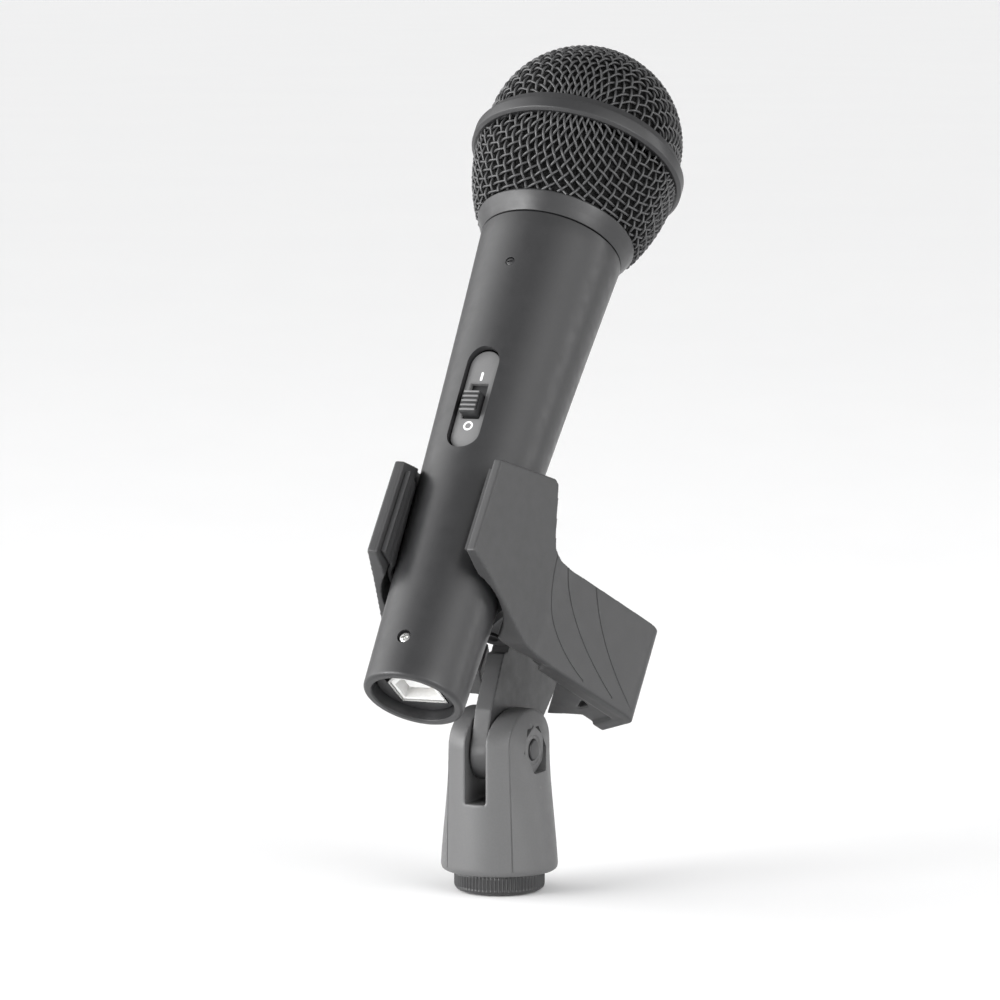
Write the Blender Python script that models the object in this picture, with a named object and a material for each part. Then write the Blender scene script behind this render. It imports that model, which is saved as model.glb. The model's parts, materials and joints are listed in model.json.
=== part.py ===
"""Dynamic vocal microphone in a sprung clip on a swivel stand adapter.

World frame in metres, +Z up.  The origin is the centre of the stand thread's lower rim, X runs
along the swivel bolt, and the microphone leans back, its head towards +Y.

Every piece of the microphone and the clip is drawn in the microphone's own frame: z runs along
the handle from its lower end to the head, -y is the front, where the switch is, and x is the same
as the world's.  Empties carry that frame and the joint axes.
"""
import math

import bmesh
import bpy
from mathutils import Vector

MM = 0.001
GAP = 0.3 * MM                     # clearance between pieces that touch on the real object

# --- driving dimensions -------------------------------------------------------------------------
LEAN = math.radians(37.5)          # microphone axis, measured from the vertical
PIVOT_HEIGHT = 33.6 * MM           # swivel bolt above the stand thread's rim
AXIS_FORWARD = 47.0 * MM           # microphone axis in front of the swivel bolt
PIVOT_ALONG = 14.1 * MM            # swivel bolt's place along the microphone axis
MIC_TURN = math.radians(-2.3)      # how far the microphone sits turned in the clip

HANDLE_LENGTH = 123.2 * MM
HANDLE_R_LOW = 11.8 * MM
HANDLE_R_TOP = 17.2 * MM
HANDLE_WAIST = 0.5 * MM            # how far the taper is hollow at its middle
HANDLE_WALL = 1.8 * MM
END_BORE_R = 9.7 * MM
USB_WIDTH, USB_HEIGHT = 12.0 * MM, 11.0 * MM     # outside of the type B socket
USB_SHELL, USB_LINER = 0.5 * MM, 0.9 * MM        # walls of its metal shell and its plastic liner

COLLAR_TOP = 128.5 * MM
COLLAR_R = 19.4 * MM
BAND_LOW, BAND_TOP = 146.5 * MM, 152.3 * MM
BAND_R = 26.0 * MM
BASKET_R_LOW = 20.0 * MM           # lower basket, at the collar
BASKET_R_TOP = 24.8 * MM           # lower basket, at the band
DOME_R = 24.0 * MM
DOME_CENTRE = 154.3 * MM
MESH_WALL = 1.3 * MM

SWITCH_HEIGHT = 72.8 * MM          # centre of the switch opening, along the handle
SWITCH_SLOPE = 0.044               # slope of the handle's side at the switch, in radians
SWITCH_WIDTH, SWITCH_LENGTH = 8.3 * MM, 27.0 * MM
SWITCH_FACE = 13.7 * MM            # front of the switch plate, from the microphone axis
SWITCH_TRAVEL = 3.0 * MM

PIN_BACK = 28.0 * MM               # clip's hinge pin, behind the microphone axis
PIN_LOW, PIN_TOP = 32.6 * MM, 56.2 * MM
PIN_R = 1.5 * MM
KNUCKLE_R = 4.4 * MM
KNUCKLE_BORE = PIN_R + GAP
RIGHT_KNUCKLES = ((33.2 * MM, 36.2 * MM), (53.1 * MM, 55.6 * MM))
LEFT_KNUCKLES = ((38.2 * MM, 41.2 * MM), (52.0 * MM, 54.5 * MM))
LEFT_DROP = 1.7 * MM               # the left jaw sits this much lower on the pin, its barrels with it
TONGUE_BARRELS = ((39.8 * MM, 42.4 * MM), (48.0 * MM, 50.0 * MM))
CRADLE_R = 14.6 * MM               # inside of the jaws, about the microphone axis
WALL = 2.4 * MM                    # clip wall
JAW_LOW, JAW_TOP = 22.0 * MM, 46.8 * MM          # right finger handle, along the microphone
LEFT_LOW = 25.1 * MM               # the left one is narrower, clear of the USB end
FLARE = math.radians(28.0)         # how far a finger handle splays out
TONGUE_THICK = 4.3 * MM

CLEVIS_R = 13.7 * MM
CLEVIS_LOW = 4.8 * MM
EAR_TOP = 43.2 * MM
EAR_SPRING_LINE = 35.0 * MM        # where the ears' round tops begin
SLOT_WIDTH = 5.4 * MM
SLOT_FLOOR = 22.0 * MM
BOLT_R = 2.5 * MM
FLANGE_R = 10.7 * MM
FLANGE_HEIGHT = 4.5 * MM
STUD_BORE_R = 4.75 * MM            # 3/8 inch stand thread
INSERT_R = 7.9 * MM                # 5/8 inch adapter thread

# --- materials: colour, roughness, metallic ------------------------------------------------------
MATERIALS = {
    "paint": ((0.045, 0.046, 0.048), 0.42, 0.0),
    "mesh": ((0.035, 0.035, 0.037), 0.5, 0.6),
    "foam": ((0.012, 0.012, 0.012), 0.95, 0.0),
    "black_plastic": ((0.03, 0.03, 0.031), 0.5, 0.0),
    "clip_plastic": ((0.055, 0.056, 0.058), 0.62, 0.0),
    "stand_plastic": ((0.07, 0.071, 0.073), 0.6, 0.0),
    "plate_grey": ((0.1, 0.1, 0.102), 0.45, 0.0),
    "rubber": ((0.02, 0.02, 0.02), 0.85, 0.0),
    "nickel": ((0.6, 0.59, 0.57), 0.25, 1.0),
    "zinc": ((0.4, 0.4, 0.41), 0.35, 1.0),
    "white_plastic": ((0.75, 0.75, 0.72), 0.4, 0.0),
    "board": ((0.02, 0.09, 0.05), 0.5, 0.0),
    "copper": ((0.6, 0.3, 0.18), 0.35, 1.0),
    "film": ((0.55, 0.5, 0.38), 0.3, 0.0),
}


# --- scene helpers --------------------------------------------------------------------------------
def clear_scene():
    for obj in list(bpy.data.objects):
        bpy.data.objects.remove(obj, do_unlink=True)


def make_materials():
    made = {}
    for name, (colour, roughness, metallic) in MATERIALS.items():
        material = bpy.data.materials.new(name)
        material.use_nodes = True
        shader = material.node_tree.nodes["Principled BSDF"]
        shader.inputs["Base Color"].default_value = (*colour, 1.0)
        shader.inputs["Roughness"].default_value = roughness
        shader.inputs["Metallic"].default_value = metallic
        made[name] = material
    return made


def add_empty(name, location, parent=None, rotation=(0.0, 0.0, 0.0)):
    empty = bpy.data.objects.new(name, None)
    empty.location = location
    empty.rotation_euler = rotation
    empty.parent = parent
    bpy.context.scene.collection.objects.link(empty)
    return empty


def add_solid(name, bm, material, parent=None, smooth=True):
    """Turn a bmesh into an object whose faces point out."""
    bmesh.ops.remove_doubles(bm, verts=bm.verts, dist=1e-7)
    bmesh.ops.recalc_face_normals(bm, faces=bm.faces)
    mesh = bpy.data.meshes.new(name)
    bm.to_mesh(mesh)
    bm.free()
    if smooth:
        mesh.shade_smooth()
        mesh.set_sharp_from_angle(angle=math.radians(30))
    obj = bpy.data.objects.new(name, mesh)
    obj.parent = parent
    bpy.context.scene.collection.objects.link(obj)
    if material:
        mesh.materials.append(LOOKS[material])
    return obj


def shape_with(target, operation, *tools):
    """Cut, join or intersect an object with hidden tool objects."""
    for tool in tools:
        modifier = target.modifiers.new(tool.name, "BOOLEAN")
        modifier.operation = operation
        modifier.solver = "EXACT"
        modifier.object = tool
        tool.hide_render = True
        tool.display_type = "WIRE"
    return target


# --- basic shapes ---------------------------------------------------------------------------------
def turned(outline, segments=40):
    """Spin a closed outline of (radius, height) points about z."""
    bm = bmesh.new()
    points = [bm.verts.new((radius, 0.0, height)) for radius, height in outline]
    edges = [bm.edges.new((points[i], points[(i + 1) % len(points)])) for i in range(len(points))]
    on_axis = [e for e in edges if max(v.co.x for v in e.verts) < 1e-9]
    bmesh.ops.delete(bm, geom=on_axis, context="EDGES")
    edges = list(bm.edges)
    bmesh.ops.spin(bm, geom=list(bm.verts) + edges, axis=(0, 0, 1), cent=(0, 0, 0),
                   angle=math.tau, steps=segments, use_duplicate=False)
    bmesh.ops.remove_doubles(bm, verts=bm.verts, dist=1e-7)
    return bm


def tube(inner, outer, low, high, segments=32):
    return turned([(inner, low), (outer, low), (outer, high), (inner, high)], segments)


def rod(radius, low, high, segments=24):
    return turned([(0.0, low), (radius, low), (radius, high), (0.0, high)], segments)


def prism(outline, low, high, along="z"):
    """Extrude a closed 2-D outline between two heights along an axis.

    The outline's points are (x, y) along z, (y, z) along x and (x, z) along y.
    """
    order = {"z": lambda a, b, h: (a, b, h), "x": lambda a, b, h: (h, a, b),
             "y": lambda a, b, h: (a, h, b)}[along]
    bm = bmesh.new()
    bottom = [bm.verts.new(order(a, b, low)) for a, b in outline]
    face = bm.faces.new(bottom)
    grown = bmesh.ops.extrude_face_region(bm, geom=[face])
    moved = [item for item in grown["geom"] if isinstance(item, bmesh.types.BMVert)]
    bmesh.ops.translate(bm, verts=moved, vec=Vector(order(0.0, 0.0, high - low)))
    return bm


def box(centre, size):
    (x, y, z), (w, d, h) = centre, size
    outline = [(x - w / 2, y - d / 2), (x + w / 2, y - d / 2), (x + w / 2, y + d / 2), (x - w / 2, y + d / 2)]
    return prism(outline, z - h / 2, z + h / 2)


def arc(centre, radius, start, end, steps):
    """Points of a circular arc; the angles are in degrees."""
    angles = [math.radians(start + (end - start) * i / steps) for i in range(steps + 1)]
    return [(centre[0] + radius * math.cos(a), centre[1] + radius * math.sin(a)) for a in angles]


def stadium(width, length, steps=8):
    """Outline with round ends, its length along the second axis."""
    half, radius = (length - width) / 2, width / 2
    return arc((0, half), radius, 0, 180, steps) + arc((0, -half), radius, 180, 360, steps)


def hexagon(across_flats, turn=0.0):
    return arc((0, 0), across_flats / math.sqrt(3), turn, turn + 300, 5)


def laid_along(bm, axis):
    """Turn a shape made along z so that it runs along x or -y."""
    if axis == "x":
        rotate = ((0, 0, 1), (0, 1, 0), (-1, 0, 0))
    else:
        rotate = ((1, 0, 0), (0, 0, -1), (0, 1, 0))
    for vert in bm.verts:
        vert.co = Vector(sum(row[i] * vert.co[i] for i in range(3)) for row in rotate)
    return bm


def shifted(bm, offset):
    bmesh.ops.translate(bm, verts=bm.verts, vec=Vector(offset))
    return bm


# --- microphone -----------------------------------------------------------------------------------
def handle_radius(height):
    along = height / HANDLE_LENGTH
    return HANDLE_R_LOW + (HANDLE_R_TOP - HANDLE_R_LOW) * along - 4 * HANDLE_WAIST * along * (1 - along)


def make_handle(frame, switch_frame):
    rim = 1.0 * MM
    levels = [HANDLE_LENGTH * i / 6 for i in range(1, 7)]
    outline = [(END_BORE_R + 0.3 * MM, 0.0), (HANDLE_R_LOW - rim, 0.0),
               (HANDLE_R_LOW - 0.3 * rim, 0.3 * rim), (HANDLE_R_LOW, rim)]
    outline += [(handle_radius(z), z) for z in levels]
    outline += [(handle_radius(z) - HANDLE_WALL, z) for z in reversed(levels[1:])]
    outline += [(END_BORE_R, levels[0]), (END_BORE_R, 0.6 * MM)]
    handle = add_solid("handle_body", turned(outline, 40), "paint", frame)
    opening = prism(stadium(SWITCH_WIDTH, SWITCH_LENGTH), -20 * MM, SWITCH_FACE * -0.85, "y")
    opening = add_solid("switch_opening", opening, None, switch_frame)
    reach = 6 * MM
    end_hole = laid_along(rod(1.9 * MM, 0, reach, 16), "y")
    end_hole = add_solid("end_screw_hole", shifted(end_hole, (0, -8.5 * MM, 9.9 * MM)), None, frame)
    set_hole = laid_along(rod(1.25 * MM, 0, reach, 12), "y")
    set_hole = add_solid("set_screw_hole", shifted(set_hole, (0, -13.2 * MM, 109.3 * MM)), None, frame)
    shape_with(handle, "DIFFERENCE", opening, end_hole, set_hole)


def make_screws(frame):
    head = [(0, 0), (0.7 * MM, 0), (0.7 * MM, 2.2 * MM), (1.6 * MM, 2.5 * MM), (1.6 * MM, 3.1 * MM), (0, 3.1 * MM)]
    screw = laid_along(turned(head, 16), "y")
    shifted(screw, (0, -(handle_radius(9.9 * MM) - 2.6 * MM), 9.9 * MM))
    screw = add_solid("end_screw", screw, "nickel", frame)
    outer = handle_radius(9.9 * MM) + 0.5 * MM
    slot = box((0, -outer, 9.9 * MM), (1.8 * MM, 0.8 * MM, 0.35 * MM))
    cross = box((0, -outer, 9.9 * MM), (0.35 * MM, 0.8 * MM, 1.8 * MM))
    shape_with(screw, "DIFFERENCE", add_solid("cross_slot_wide", slot, None, frame),
               add_solid("cross_slot_tall", cross, None, frame))
    grub_r = 0.95 * MM
    face = handle_radius(109.3 * MM) - 0.25 * MM
    grub = shifted(laid_along(rod(grub_r, 0, 1.3 * MM, 12), "y"), (0, -face + 1.3 * MM, 109.3 * MM))
    grub = add_solid("set_screw", grub, "paint", frame)
    groove = box((0, -face, 109.3 * MM), (2.4 * MM, 0.7 * MM, 0.35 * MM))
    shape_with(grub, "DIFFERENCE", add_solid("set_screw_slot", groove, None, frame))


def make_end_insert(frame):
    """Cup that holds the USB socket in the handle's lower end."""
    outer = END_BORE_R - GAP
    outline = [(0, 2.8 * MM), (outer, 2.8 * MM), (outer, 8.3 * MM), (8.0 * MM, 8.3 * MM),
               (8.0 * MM, 5.0 * MM), (0, 5.0 * MM)]
    insert = add_solid("end_insert", turned(outline, 40), "black_plastic", frame)
    hole = box((0, 0, 5 * MM), (12.6 * MM, 11.6 * MM, 8 * MM))
    shape_with(insert, "DIFFERENCE", add_solid("socket_hole", hole, None, frame))


def socket_outline(inset):
    """Type B socket outline, its two sloping corners towards the front, drawn in by an inset."""
    w, h, corner = USB_WIDTH / 2 - inset, USB_HEIGHT / 2 - inset, 2.4 * MM
    return [(-w, h), (w, h), (w, corner - h), (w - corner, -h), (corner - w, -h), (-w, corner - h)]


def make_usb_socket(frame):
    shell = add_solid("usb_shell", prism(socket_outline(0.0), 2.6 * MM, 18.5 * MM), "nickel", frame, False)
    mouth = prism(socket_outline(USB_SHELL), 1.0 * MM, 17.5 * MM)
    shape_with(shell, "DIFFERENCE", add_solid("usb_mouth", mouth, None, frame))
    liner = prism(socket_outline(USB_SHELL + GAP), 4.0 * MM, 17.1 * MM)
    liner = add_solid("usb_insulator", liner, "white_plastic", frame, False)
    hollow = prism(socket_outline(USB_SHELL + GAP + USB_LINER), 3.0 * MM, 14.0 * MM)
    tongue = box((0, 0, 9.9 * MM), (5.6 * MM, 3.2 * MM, 11.4 * MM))
    shape_with(liner, "DIFFERENCE", add_solid("usb_hollow", hollow, None, frame))
    shape_with(liner, "UNION", add_solid("usb_tongue", tongue, None, frame))


def make_board(frame):
    add_solid("circuit_board", box((0, -3.4 * MM, 56 * MM), (15 * MM, 1.2 * MM, 72 * MM)), "board", frame, False)
    add_solid("converter_chip", box((0, -1.8 * MM, 40 * MM), (7 * MM, 1.4 * MM, 7 * MM)),
              "black_plastic", frame, False)
    add_solid("crystal_can", box((0, -1.3 * MM, 29 * MM), (8 * MM, 2.4 * MM, 3.4 * MM)), "nickel", frame, False)
    add_solid("capacitor", shifted(rod(2.5 * MM, 0, 6 * MM, 16), (3.5 * MM, 0.0, 80 * MM)), "zinc", frame)


def make_switch(frame):
    """Switch in its own frame: z along the handle's side and -y straight out of it."""
    front = -SWITCH_FACE
    plate = prism(stadium(SWITCH_WIDTH - 2 * GAP, SWITCH_LENGTH - 2 * GAP), front, front + 1.2 * MM, "y")
    plate = add_solid("switch_plate", plate, "plate_grey", frame)
    window = box((0, front, -0.8 * MM), (4.6 * MM, 6 * MM, 9.0 * MM))
    shape_with(plate, "DIFFERENCE", add_solid("switch_window", window, None, frame))
    add_solid("switch_body", box((0, -8.2 * MM, 0), (8.4 * MM, 5.6 * MM, 20 * MM)), "black_plastic", frame, False)
    under = front + 1.2 * MM + GAP
    rest = -0.8 * MM - SWITCH_TRAVEL / 2
    rider = add_empty("switch_axis", (0, under, rest), frame)
    foot = add_solid("switch_slider", box((0, 0.4 * MM, 0), (5.6 * MM, 0.8 * MM, 13 * MM)),
                     "black_plastic", rider, False)
    top = 1.2 * MM + GAP + 1.3 * MM
    knob = [(0.2 * MM, -2.75 * MM)]
    ridges = 5
    for i in range(ridges):
        centre = (-2.75 + 5.5 * (i + 0.5) / ridges) * MM
        knob += [(-top + 0.35 * MM, centre - 0.5 * MM), (-top, centre - 0.25 * MM),
                 (-top, centre + 0.25 * MM), (-top + 0.35 * MM, centre + 0.5 * MM)]
    knob += [(0.2 * MM, 2.75 * MM)]
    knob = add_solid("switch_knob", prism(knob, -1.9 * MM, 1.9 * MM, "x"), None, rider, False)
    shape_with(foot, "UNION", knob)


def basket_radius(height):
    down = (BAND_LOW - height) / (BAND_LOW - COLLAR_TOP)
    return BASKET_R_TOP - (BASKET_R_TOP - BASKET_R_LOW) * max(down, 0.0) ** 1.85


def dome_outline(radius, wall, low, steps):
    """Closed shell outline of a round cap above a height."""
    def side(r):
        start = math.asin((low - DOME_CENTRE) / r)
        angles = [start + (math.pi / 2 - start) * i / steps for i in range(steps + 1)]
        return [(r * math.cos(a) if i < steps else 0.0, DOME_CENTRE + r * math.sin(a))
                for i, a in enumerate(angles)]
    return side(radius) + list(reversed(side(radius - wall)))


def make_head(frame):
    seam = HANDLE_LENGTH + GAP
    collar = [(16.0 * MM, seam), (HANDLE_R_TOP, seam), (HANDLE_R_TOP + 0.9 * MM, seam + 2.0 * MM),
              (COLLAR_R, COLLAR_TOP - 0.4 * MM), (COLLAR_R - 0.3 * MM, COLLAR_TOP), (16.0 * MM, COLLAR_TOP)]
    add_solid("collar_ring", turned(collar, 40), "paint", frame)
    low, high, steps = COLLAR_TOP + GAP, BAND_LOW - GAP, 5
    levels = [low + (high - low) * i / steps for i in range(steps + 1)]
    cup = [(basket_radius(z), z) for z in levels]
    cup += [(basket_radius(z) - MESH_WALL, z) for z in reversed(levels)]
    add_solid("grille_lower", turned(cup, 36), "mesh", frame)
    band = [(22.9 * MM, BAND_LOW), (BAND_R - 0.5 * MM, BAND_LOW), (BAND_R - 0.2 * MM, BAND_LOW + 0.4 * MM),
            (BAND_R, BAND_LOW + 1.5 * MM), (BAND_R, BAND_TOP - 2.3 * MM), (BAND_R - 0.3 * MM, BAND_TOP - 0.5 * MM),
            (BAND_R - 0.7 * MM, BAND_TOP), (22.6 * MM, BAND_TOP)]
    add_solid("grille_band", turned(band, 36), "paint", frame)
    dome = dome_outline(DOME_R, MESH_WALL, BAND_TOP + GAP, 6)
    add_solid("grille_upper", turned(dome, 36), "mesh", frame)


def make_foam(frame):
    cap = dome_outline(DOME_R - MESH_WALL - GAP, 3.0 * MM, BAND_TOP + GAP, 5)
    add_solid("foam_upper", turned(cap, 24), "foam", frame)
    low, high, steps = COLLAR_TOP + 2.0 * MM, BAND_LOW - GAP, 4
    levels = [low + (high - low) * i / steps for i in range(steps + 1)]
    skin = MESH_WALL + GAP
    cup = [(basket_radius(z) - skin, z) for z in levels]
    cup += [(basket_radius(z) - skin - 2.0 * MM, z) for z in reversed(levels)]
    add_solid("foam_lower", turned(cup, 24), "foam", frame)


def make_capsule(frame):
    add_solid("capsule_carrier", turned([(12.6 * MM, 104 * MM), (14.0 * MM, 104 * MM), (14.0 * MM, 124 * MM),
              (15.7 * MM, 124 * MM), (15.7 * MM, 129 * MM), (12.6 * MM, 129 * MM)], 24), "black_plastic", frame)
    add_solid("shock_mount", tube(11.5 * MM, 15.7 * MM, 129.3 * MM, 132.6 * MM, 24), "rubber", frame)
    add_solid("capsule_housing", turned([(6.0 * MM, 132.9 * MM), (14.4 * MM, 132.9 * MM), (14.4 * MM, 148.0 * MM),
              (13.2 * MM, 148.0 * MM), (13.2 * MM, 134.3 * MM), (6.0 * MM, 134.3 * MM)], 24), "black_plastic", frame)
    add_solid("magnet_yoke", turned([(0, 134.6 * MM), (11.5 * MM, 134.6 * MM), (11.5 * MM, 143.0 * MM),
              (9.5 * MM, 143.0 * MM), (9.5 * MM, 137.0 * MM), (0, 137.0 * MM)], 24), "zinc", frame)
    add_solid("magnet", rod(6.6 * MM, 137.3 * MM, 141.0 * MM), "nickel", frame)
    add_solid("pole_piece", rod(7.6 * MM, 141.3 * MM, 143.2 * MM), "zinc", frame)
    rider = add_empty("diaphragm_axis", (0, 0, 144.0 * MM), frame)
    add_solid("voice_coil", tube(8.2 * MM, 8.9 * MM, -3.6 * MM, 0.9 * MM, 24), "copper", rider)
    film = 0.4 * MM
    dome = [(0, 3.4 * MM), (4.5 * MM, 3.0 * MM), (8.0 * MM, 1.3 * MM), (10.5 * MM, 2.0 * MM), (12.6 * MM, 1.5 * MM)]
    outline = dome + [(r, z + film) for r, z in reversed(dome)]
    add_solid("diaphragm", turned(outline, 24), "film", rider)
    grid = add_solid("capsule_grid", rod(14.2 * MM, 148.5 * MM, 149.7 * MM, 24), "black_plastic", frame)
    holes = []
    for i in range(7):
        out = 0.0 if i == 6 else 8.0 * MM
        turn = math.tau * (i + 0.3) / 6
        hole = shifted(rod(2.2 * MM, 147.5 * MM, 151 * MM, 8), (out * math.cos(turn), out * math.sin(turn), 0))
        holes.append(add_solid(f"grid_hole_{i}", hole, None, frame))
    shape_with(grid, "DIFFERENCE", *holes)


# --- clip -----------------------------------------------------------------------------------------
def handle_line(back):
    """Outer face of the right finger handle: x for a distance behind the microphone axis."""
    return 18.0 * MM + math.tan(FLARE) * (back - 14.0 * MM)


def jaw_wall_outline():
    """Right jaw in plan, from the front tip back along the outside to the end flange and inside again."""
    flare, across = Vector((math.sin(FLARE), math.cos(FLARE))), Vector((math.cos(FLARE), -math.sin(FLARE)))
    corner = Vector((handle_line(44.4 * MM), 44.4 * MM))
    flange_end = corner - across * 12.4 * MM
    bend = [(17.2 * MM, 5.5 * MM), (17.7 * MM, 9.5 * MM), (18.7 * MM, 14.0 * MM), (20.4 * MM, 18.5 * MM)]
    outer = [(13.4 * MM, -17.3 * MM), *bend]
    outer += [tuple(corner - flare * 5.0 * MM), tuple(corner - flare * 1.2 * MM - across * 0.6 * MM),
              tuple(corner - across * 2.7 * MM), tuple(flange_end)]
    inner_corner = corner - (flare + across) * WALL
    inner = [tuple(flange_end - flare * WALL), tuple(inner_corner)]
    inner += [tuple(Vector((20.4 * MM, 18.5 * MM)) - across * WALL), (13.6 * MM, 14.0 * MM)]
    inner += arc((0, 0), CRADLE_R, 40, -38, 8) + [(11.1 * MM, -17.0 * MM)]
    return outer + inner


def front_plate_outline(low):
    """Side view of the plate beside the microphone, as (y, z) points, down to the handle's low edge."""
    side = [(-18 * MM, 30.5 * MM), (-18 * MM, 54.2 * MM), (3.4 * MM, 62.4 * MM), (5.6 * MM, 61.9 * MM),
            (6.6 * MM, 60.0 * MM), (10.2 * MM, 51.0 * MM), (11.8 * MM, 48.2 * MM), (14.6 * MM, 47.0 * MM),
            (24 * MM, 46.4 * MM), (24 * MM, 22.2 * MM), (13.0 * MM, 22.2 * MM), (9.8 * MM, 22.5 * MM),
            (6.9 * MM, 23.3 * MM), (4.8 * MM, 24.1 * MM), (2.8 * MM, 24.9 * MM), (-8 * MM, 28.4 * MM)]
    return [(y, max(z, low)) for y, z in side]


def floor_outline():
    """Plan of the finger handle's end plates, inside the wall."""
    flare, across = Vector((math.sin(FLARE), math.cos(FLARE))), Vector((math.cos(FLARE), -math.sin(FLARE)))
    corner = Vector((handle_line(44.4 * MM), 44.4 * MM))
    inner_corner = corner - (flare + across) * 1.2 * MM
    flange_end = corner - across * 12.4 * MM
    return [tuple(inner_corner), tuple(flange_end - flare * 0.6 * MM), tuple(flange_end - flare * 6.9 * MM),
            (10.9 * MM, 44.6 * MM), (19.5 * MM, 28.1 * MM), (16.3 * MM, 19.4 * MM), (17.2 * MM, 13.5 * MM),
            (19.2 * MM, 17.5 * MM)]


def mirrored(points, side):
    return [(side * x, y) for x, y in points]


def knuckle_arm(side, low, high):
    """Arm from the jaw to its barrel on the hinge pin; an upper one starts further forward."""
    root = [(11.4 * MM, 12.6 * MM), (17.6 * MM, 17.0 * MM)]
    if low > JAW_TOP:
        root = [(14.4 * MM, 5.4 * MM), (15.0 * MM, 1.0 * MM), (16.4 * MM, 7.0 * MM), (14.5 * MM, 15.0 * MM)]
    near_pin = [(4.0 * MM, 30.4 * MM), (0.4 * MM, 31.4 * MM), (-2.8 * MM, 26.4 * MM), (0.6 * MM, 24.2 * MM)]
    return prism(mirrored(root + near_pin, side), low, high)


def make_jaw(name, side, frame, levels, low, drop):
    axis = add_empty(f"{name}_axis", (0, PIN_BACK, -drop), frame)
    hinge = (0, -PIN_BACK, 0)

    def tool(label, bm):
        return add_solid(f"{name}_{label}", shifted(bm, hinge), None, axis)

    wall = mirrored(jaw_wall_outline(), side)
    jaw = add_solid(name, shifted(prism(wall, low - 2 * MM, 64 * MM), hinge), "clip_plastic", axis)
    front = tool("front_mask", prism(front_plate_outline(low), -40 * MM, 40 * MM, "x"))
    rear = tool("rear_mask", box((0, 42 * MM, (low + JAW_TOP) / 2), (90 * MM, 44 * MM, JAW_TOP - low)))
    shape_with(front, "UNION", rear)
    shape_with(jaw, "INTERSECT", front)
    parts = [tool("floor", prism(mirrored(floor_outline(), side), low + 0.2 * MM, low + 2.4 * MM)),
             tool("roof", prism(mirrored(floor_outline(), side), JAW_TOP - 2.4 * MM, JAW_TOP - 0.2 * MM))]
    for number, (foot, head) in enumerate(levels):
        parts.append(tool(f"arm_{number}", knuckle_arm(side, foot, head)))
        parts.append(tool(f"barrel_{number}", shifted(rod(KNUCKLE_R, foot, head, 20), (0, PIN_BACK, 0))))
    shape_with(jaw, "UNION", *parts)
    bore = tool("bore", shifted(rod(KNUCKLE_BORE, 20 * MM, 75 * MM, 20), (0, PIN_BACK, 0)))
    shape_with(jaw, "DIFFERENCE", bore)
    make_pad(name.replace("jaw", "pad"), side, axis)


def make_pad(name, side, axis):
    """Rubber liner between a jaw and the tapered handle."""
    low, high, steps = 31.5 * MM, 53.0 * MM, 10
    outside = CRADLE_R - 0.2 * MM
    bm = bmesh.new()
    rows = []
    for height in (low, high):
        inside = handle_radius(height) + GAP
        angles = [math.radians(-40 + 76 * i / steps) for i in range(steps + 1)]
        row = [(side * outside * math.cos(a), outside * math.sin(a)) for a in angles]
        row += [(side * inside * math.cos(a), inside * math.sin(a)) for a in reversed(angles)]
        rows.append([bm.verts.new((x, y - PIN_BACK, height)) for x, y in row])
    count = len(rows[0])
    for i in range(count):
        k = (i + 1) % count
        bm.faces.new((rows[0][i], rows[0][k], rows[1][k], rows[1][i]))
    for row in rows:
        for i in range(steps):
            bm.faces.new((row[i], row[i + 1], row[count - 2 - i], row[count - 1 - i]))
    add_solid(name, bm, "rubber", axis)


def tongue_outline():
    """Side view of the tongue as (y, z) points: a disc at the swivel that fans out up to the hinge."""
    pivot = (AXIS_FORWARD, PIVOT_ALONG)
    disc_r = 11.2 * MM
    disc = arc(pivot, disc_r, 187.5, 351.5, 16)
    rear = [(62.3 * MM, 39.4 * MM), (61.6 * MM, 42.0 * MM), (55.0 * MM, 47.0 * MM), (46.0 * MM, 49.8 * MM)]
    (low_barrel, low_top), (high_barrel, high_top) = TONGUE_BARRELS
    clear = PIN_BACK + KNUCKLE_R + 0.8 * MM
    inset = 0.2 * MM
    behind_bore = PIN_BACK + 2.6 * MM
    front = [(behind_bore, high_top - inset), (behind_bore, high_barrel + inset), (clear, high_barrel + inset),
             (clear, low_top - inset), (behind_bore, low_top - inset), (behind_bore, low_barrel + inset),
             (clear, low_barrel + inset), (clear, 31.0 * MM)]
    return disc + rear + front


def make_tongue(frame):
    half = TONGUE_THICK / 2
    tongue = add_solid("tongue", prism(tongue_outline(), -half, half, "x"), "clip_plastic", frame)
    barrels = [tube(KNUCKLE_BORE, KNUCKLE_R, low, high, 20) for low, high in TONGUE_BARRELS]
    barrels = [add_solid(f"tongue_barrel_{i}", shifted(barrel, (0, PIN_BACK, 0)), None, frame)
               for i, barrel in enumerate(barrels)]
    shape_with(tongue, "UNION", *barrels)
    hole = laid_along(rod(BOLT_R + GAP, -10 * MM, 10 * MM, 24), "x")
    hole = shifted(hole, (0, AXIS_FORWARD, PIVOT_ALONG))
    shape_with(tongue, "DIFFERENCE", add_solid("tongue_bolt_bore", hole, None, frame))


def make_hinge(frame):
    pin = [(0, PIN_LOW), (PIN_R, PIN_LOW), (PIN_R, PIN_TOP), (2.6 * MM, PIN_TOP), (2.6 * MM, PIN_TOP + 1.0 * MM),
           (0, PIN_TOP + 1.0 * MM)]
    add_solid("hinge_pin", shifted(turned(pin, 16), (0, PIN_BACK, 0)), "zinc", frame)
    make_spring(frame)


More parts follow.
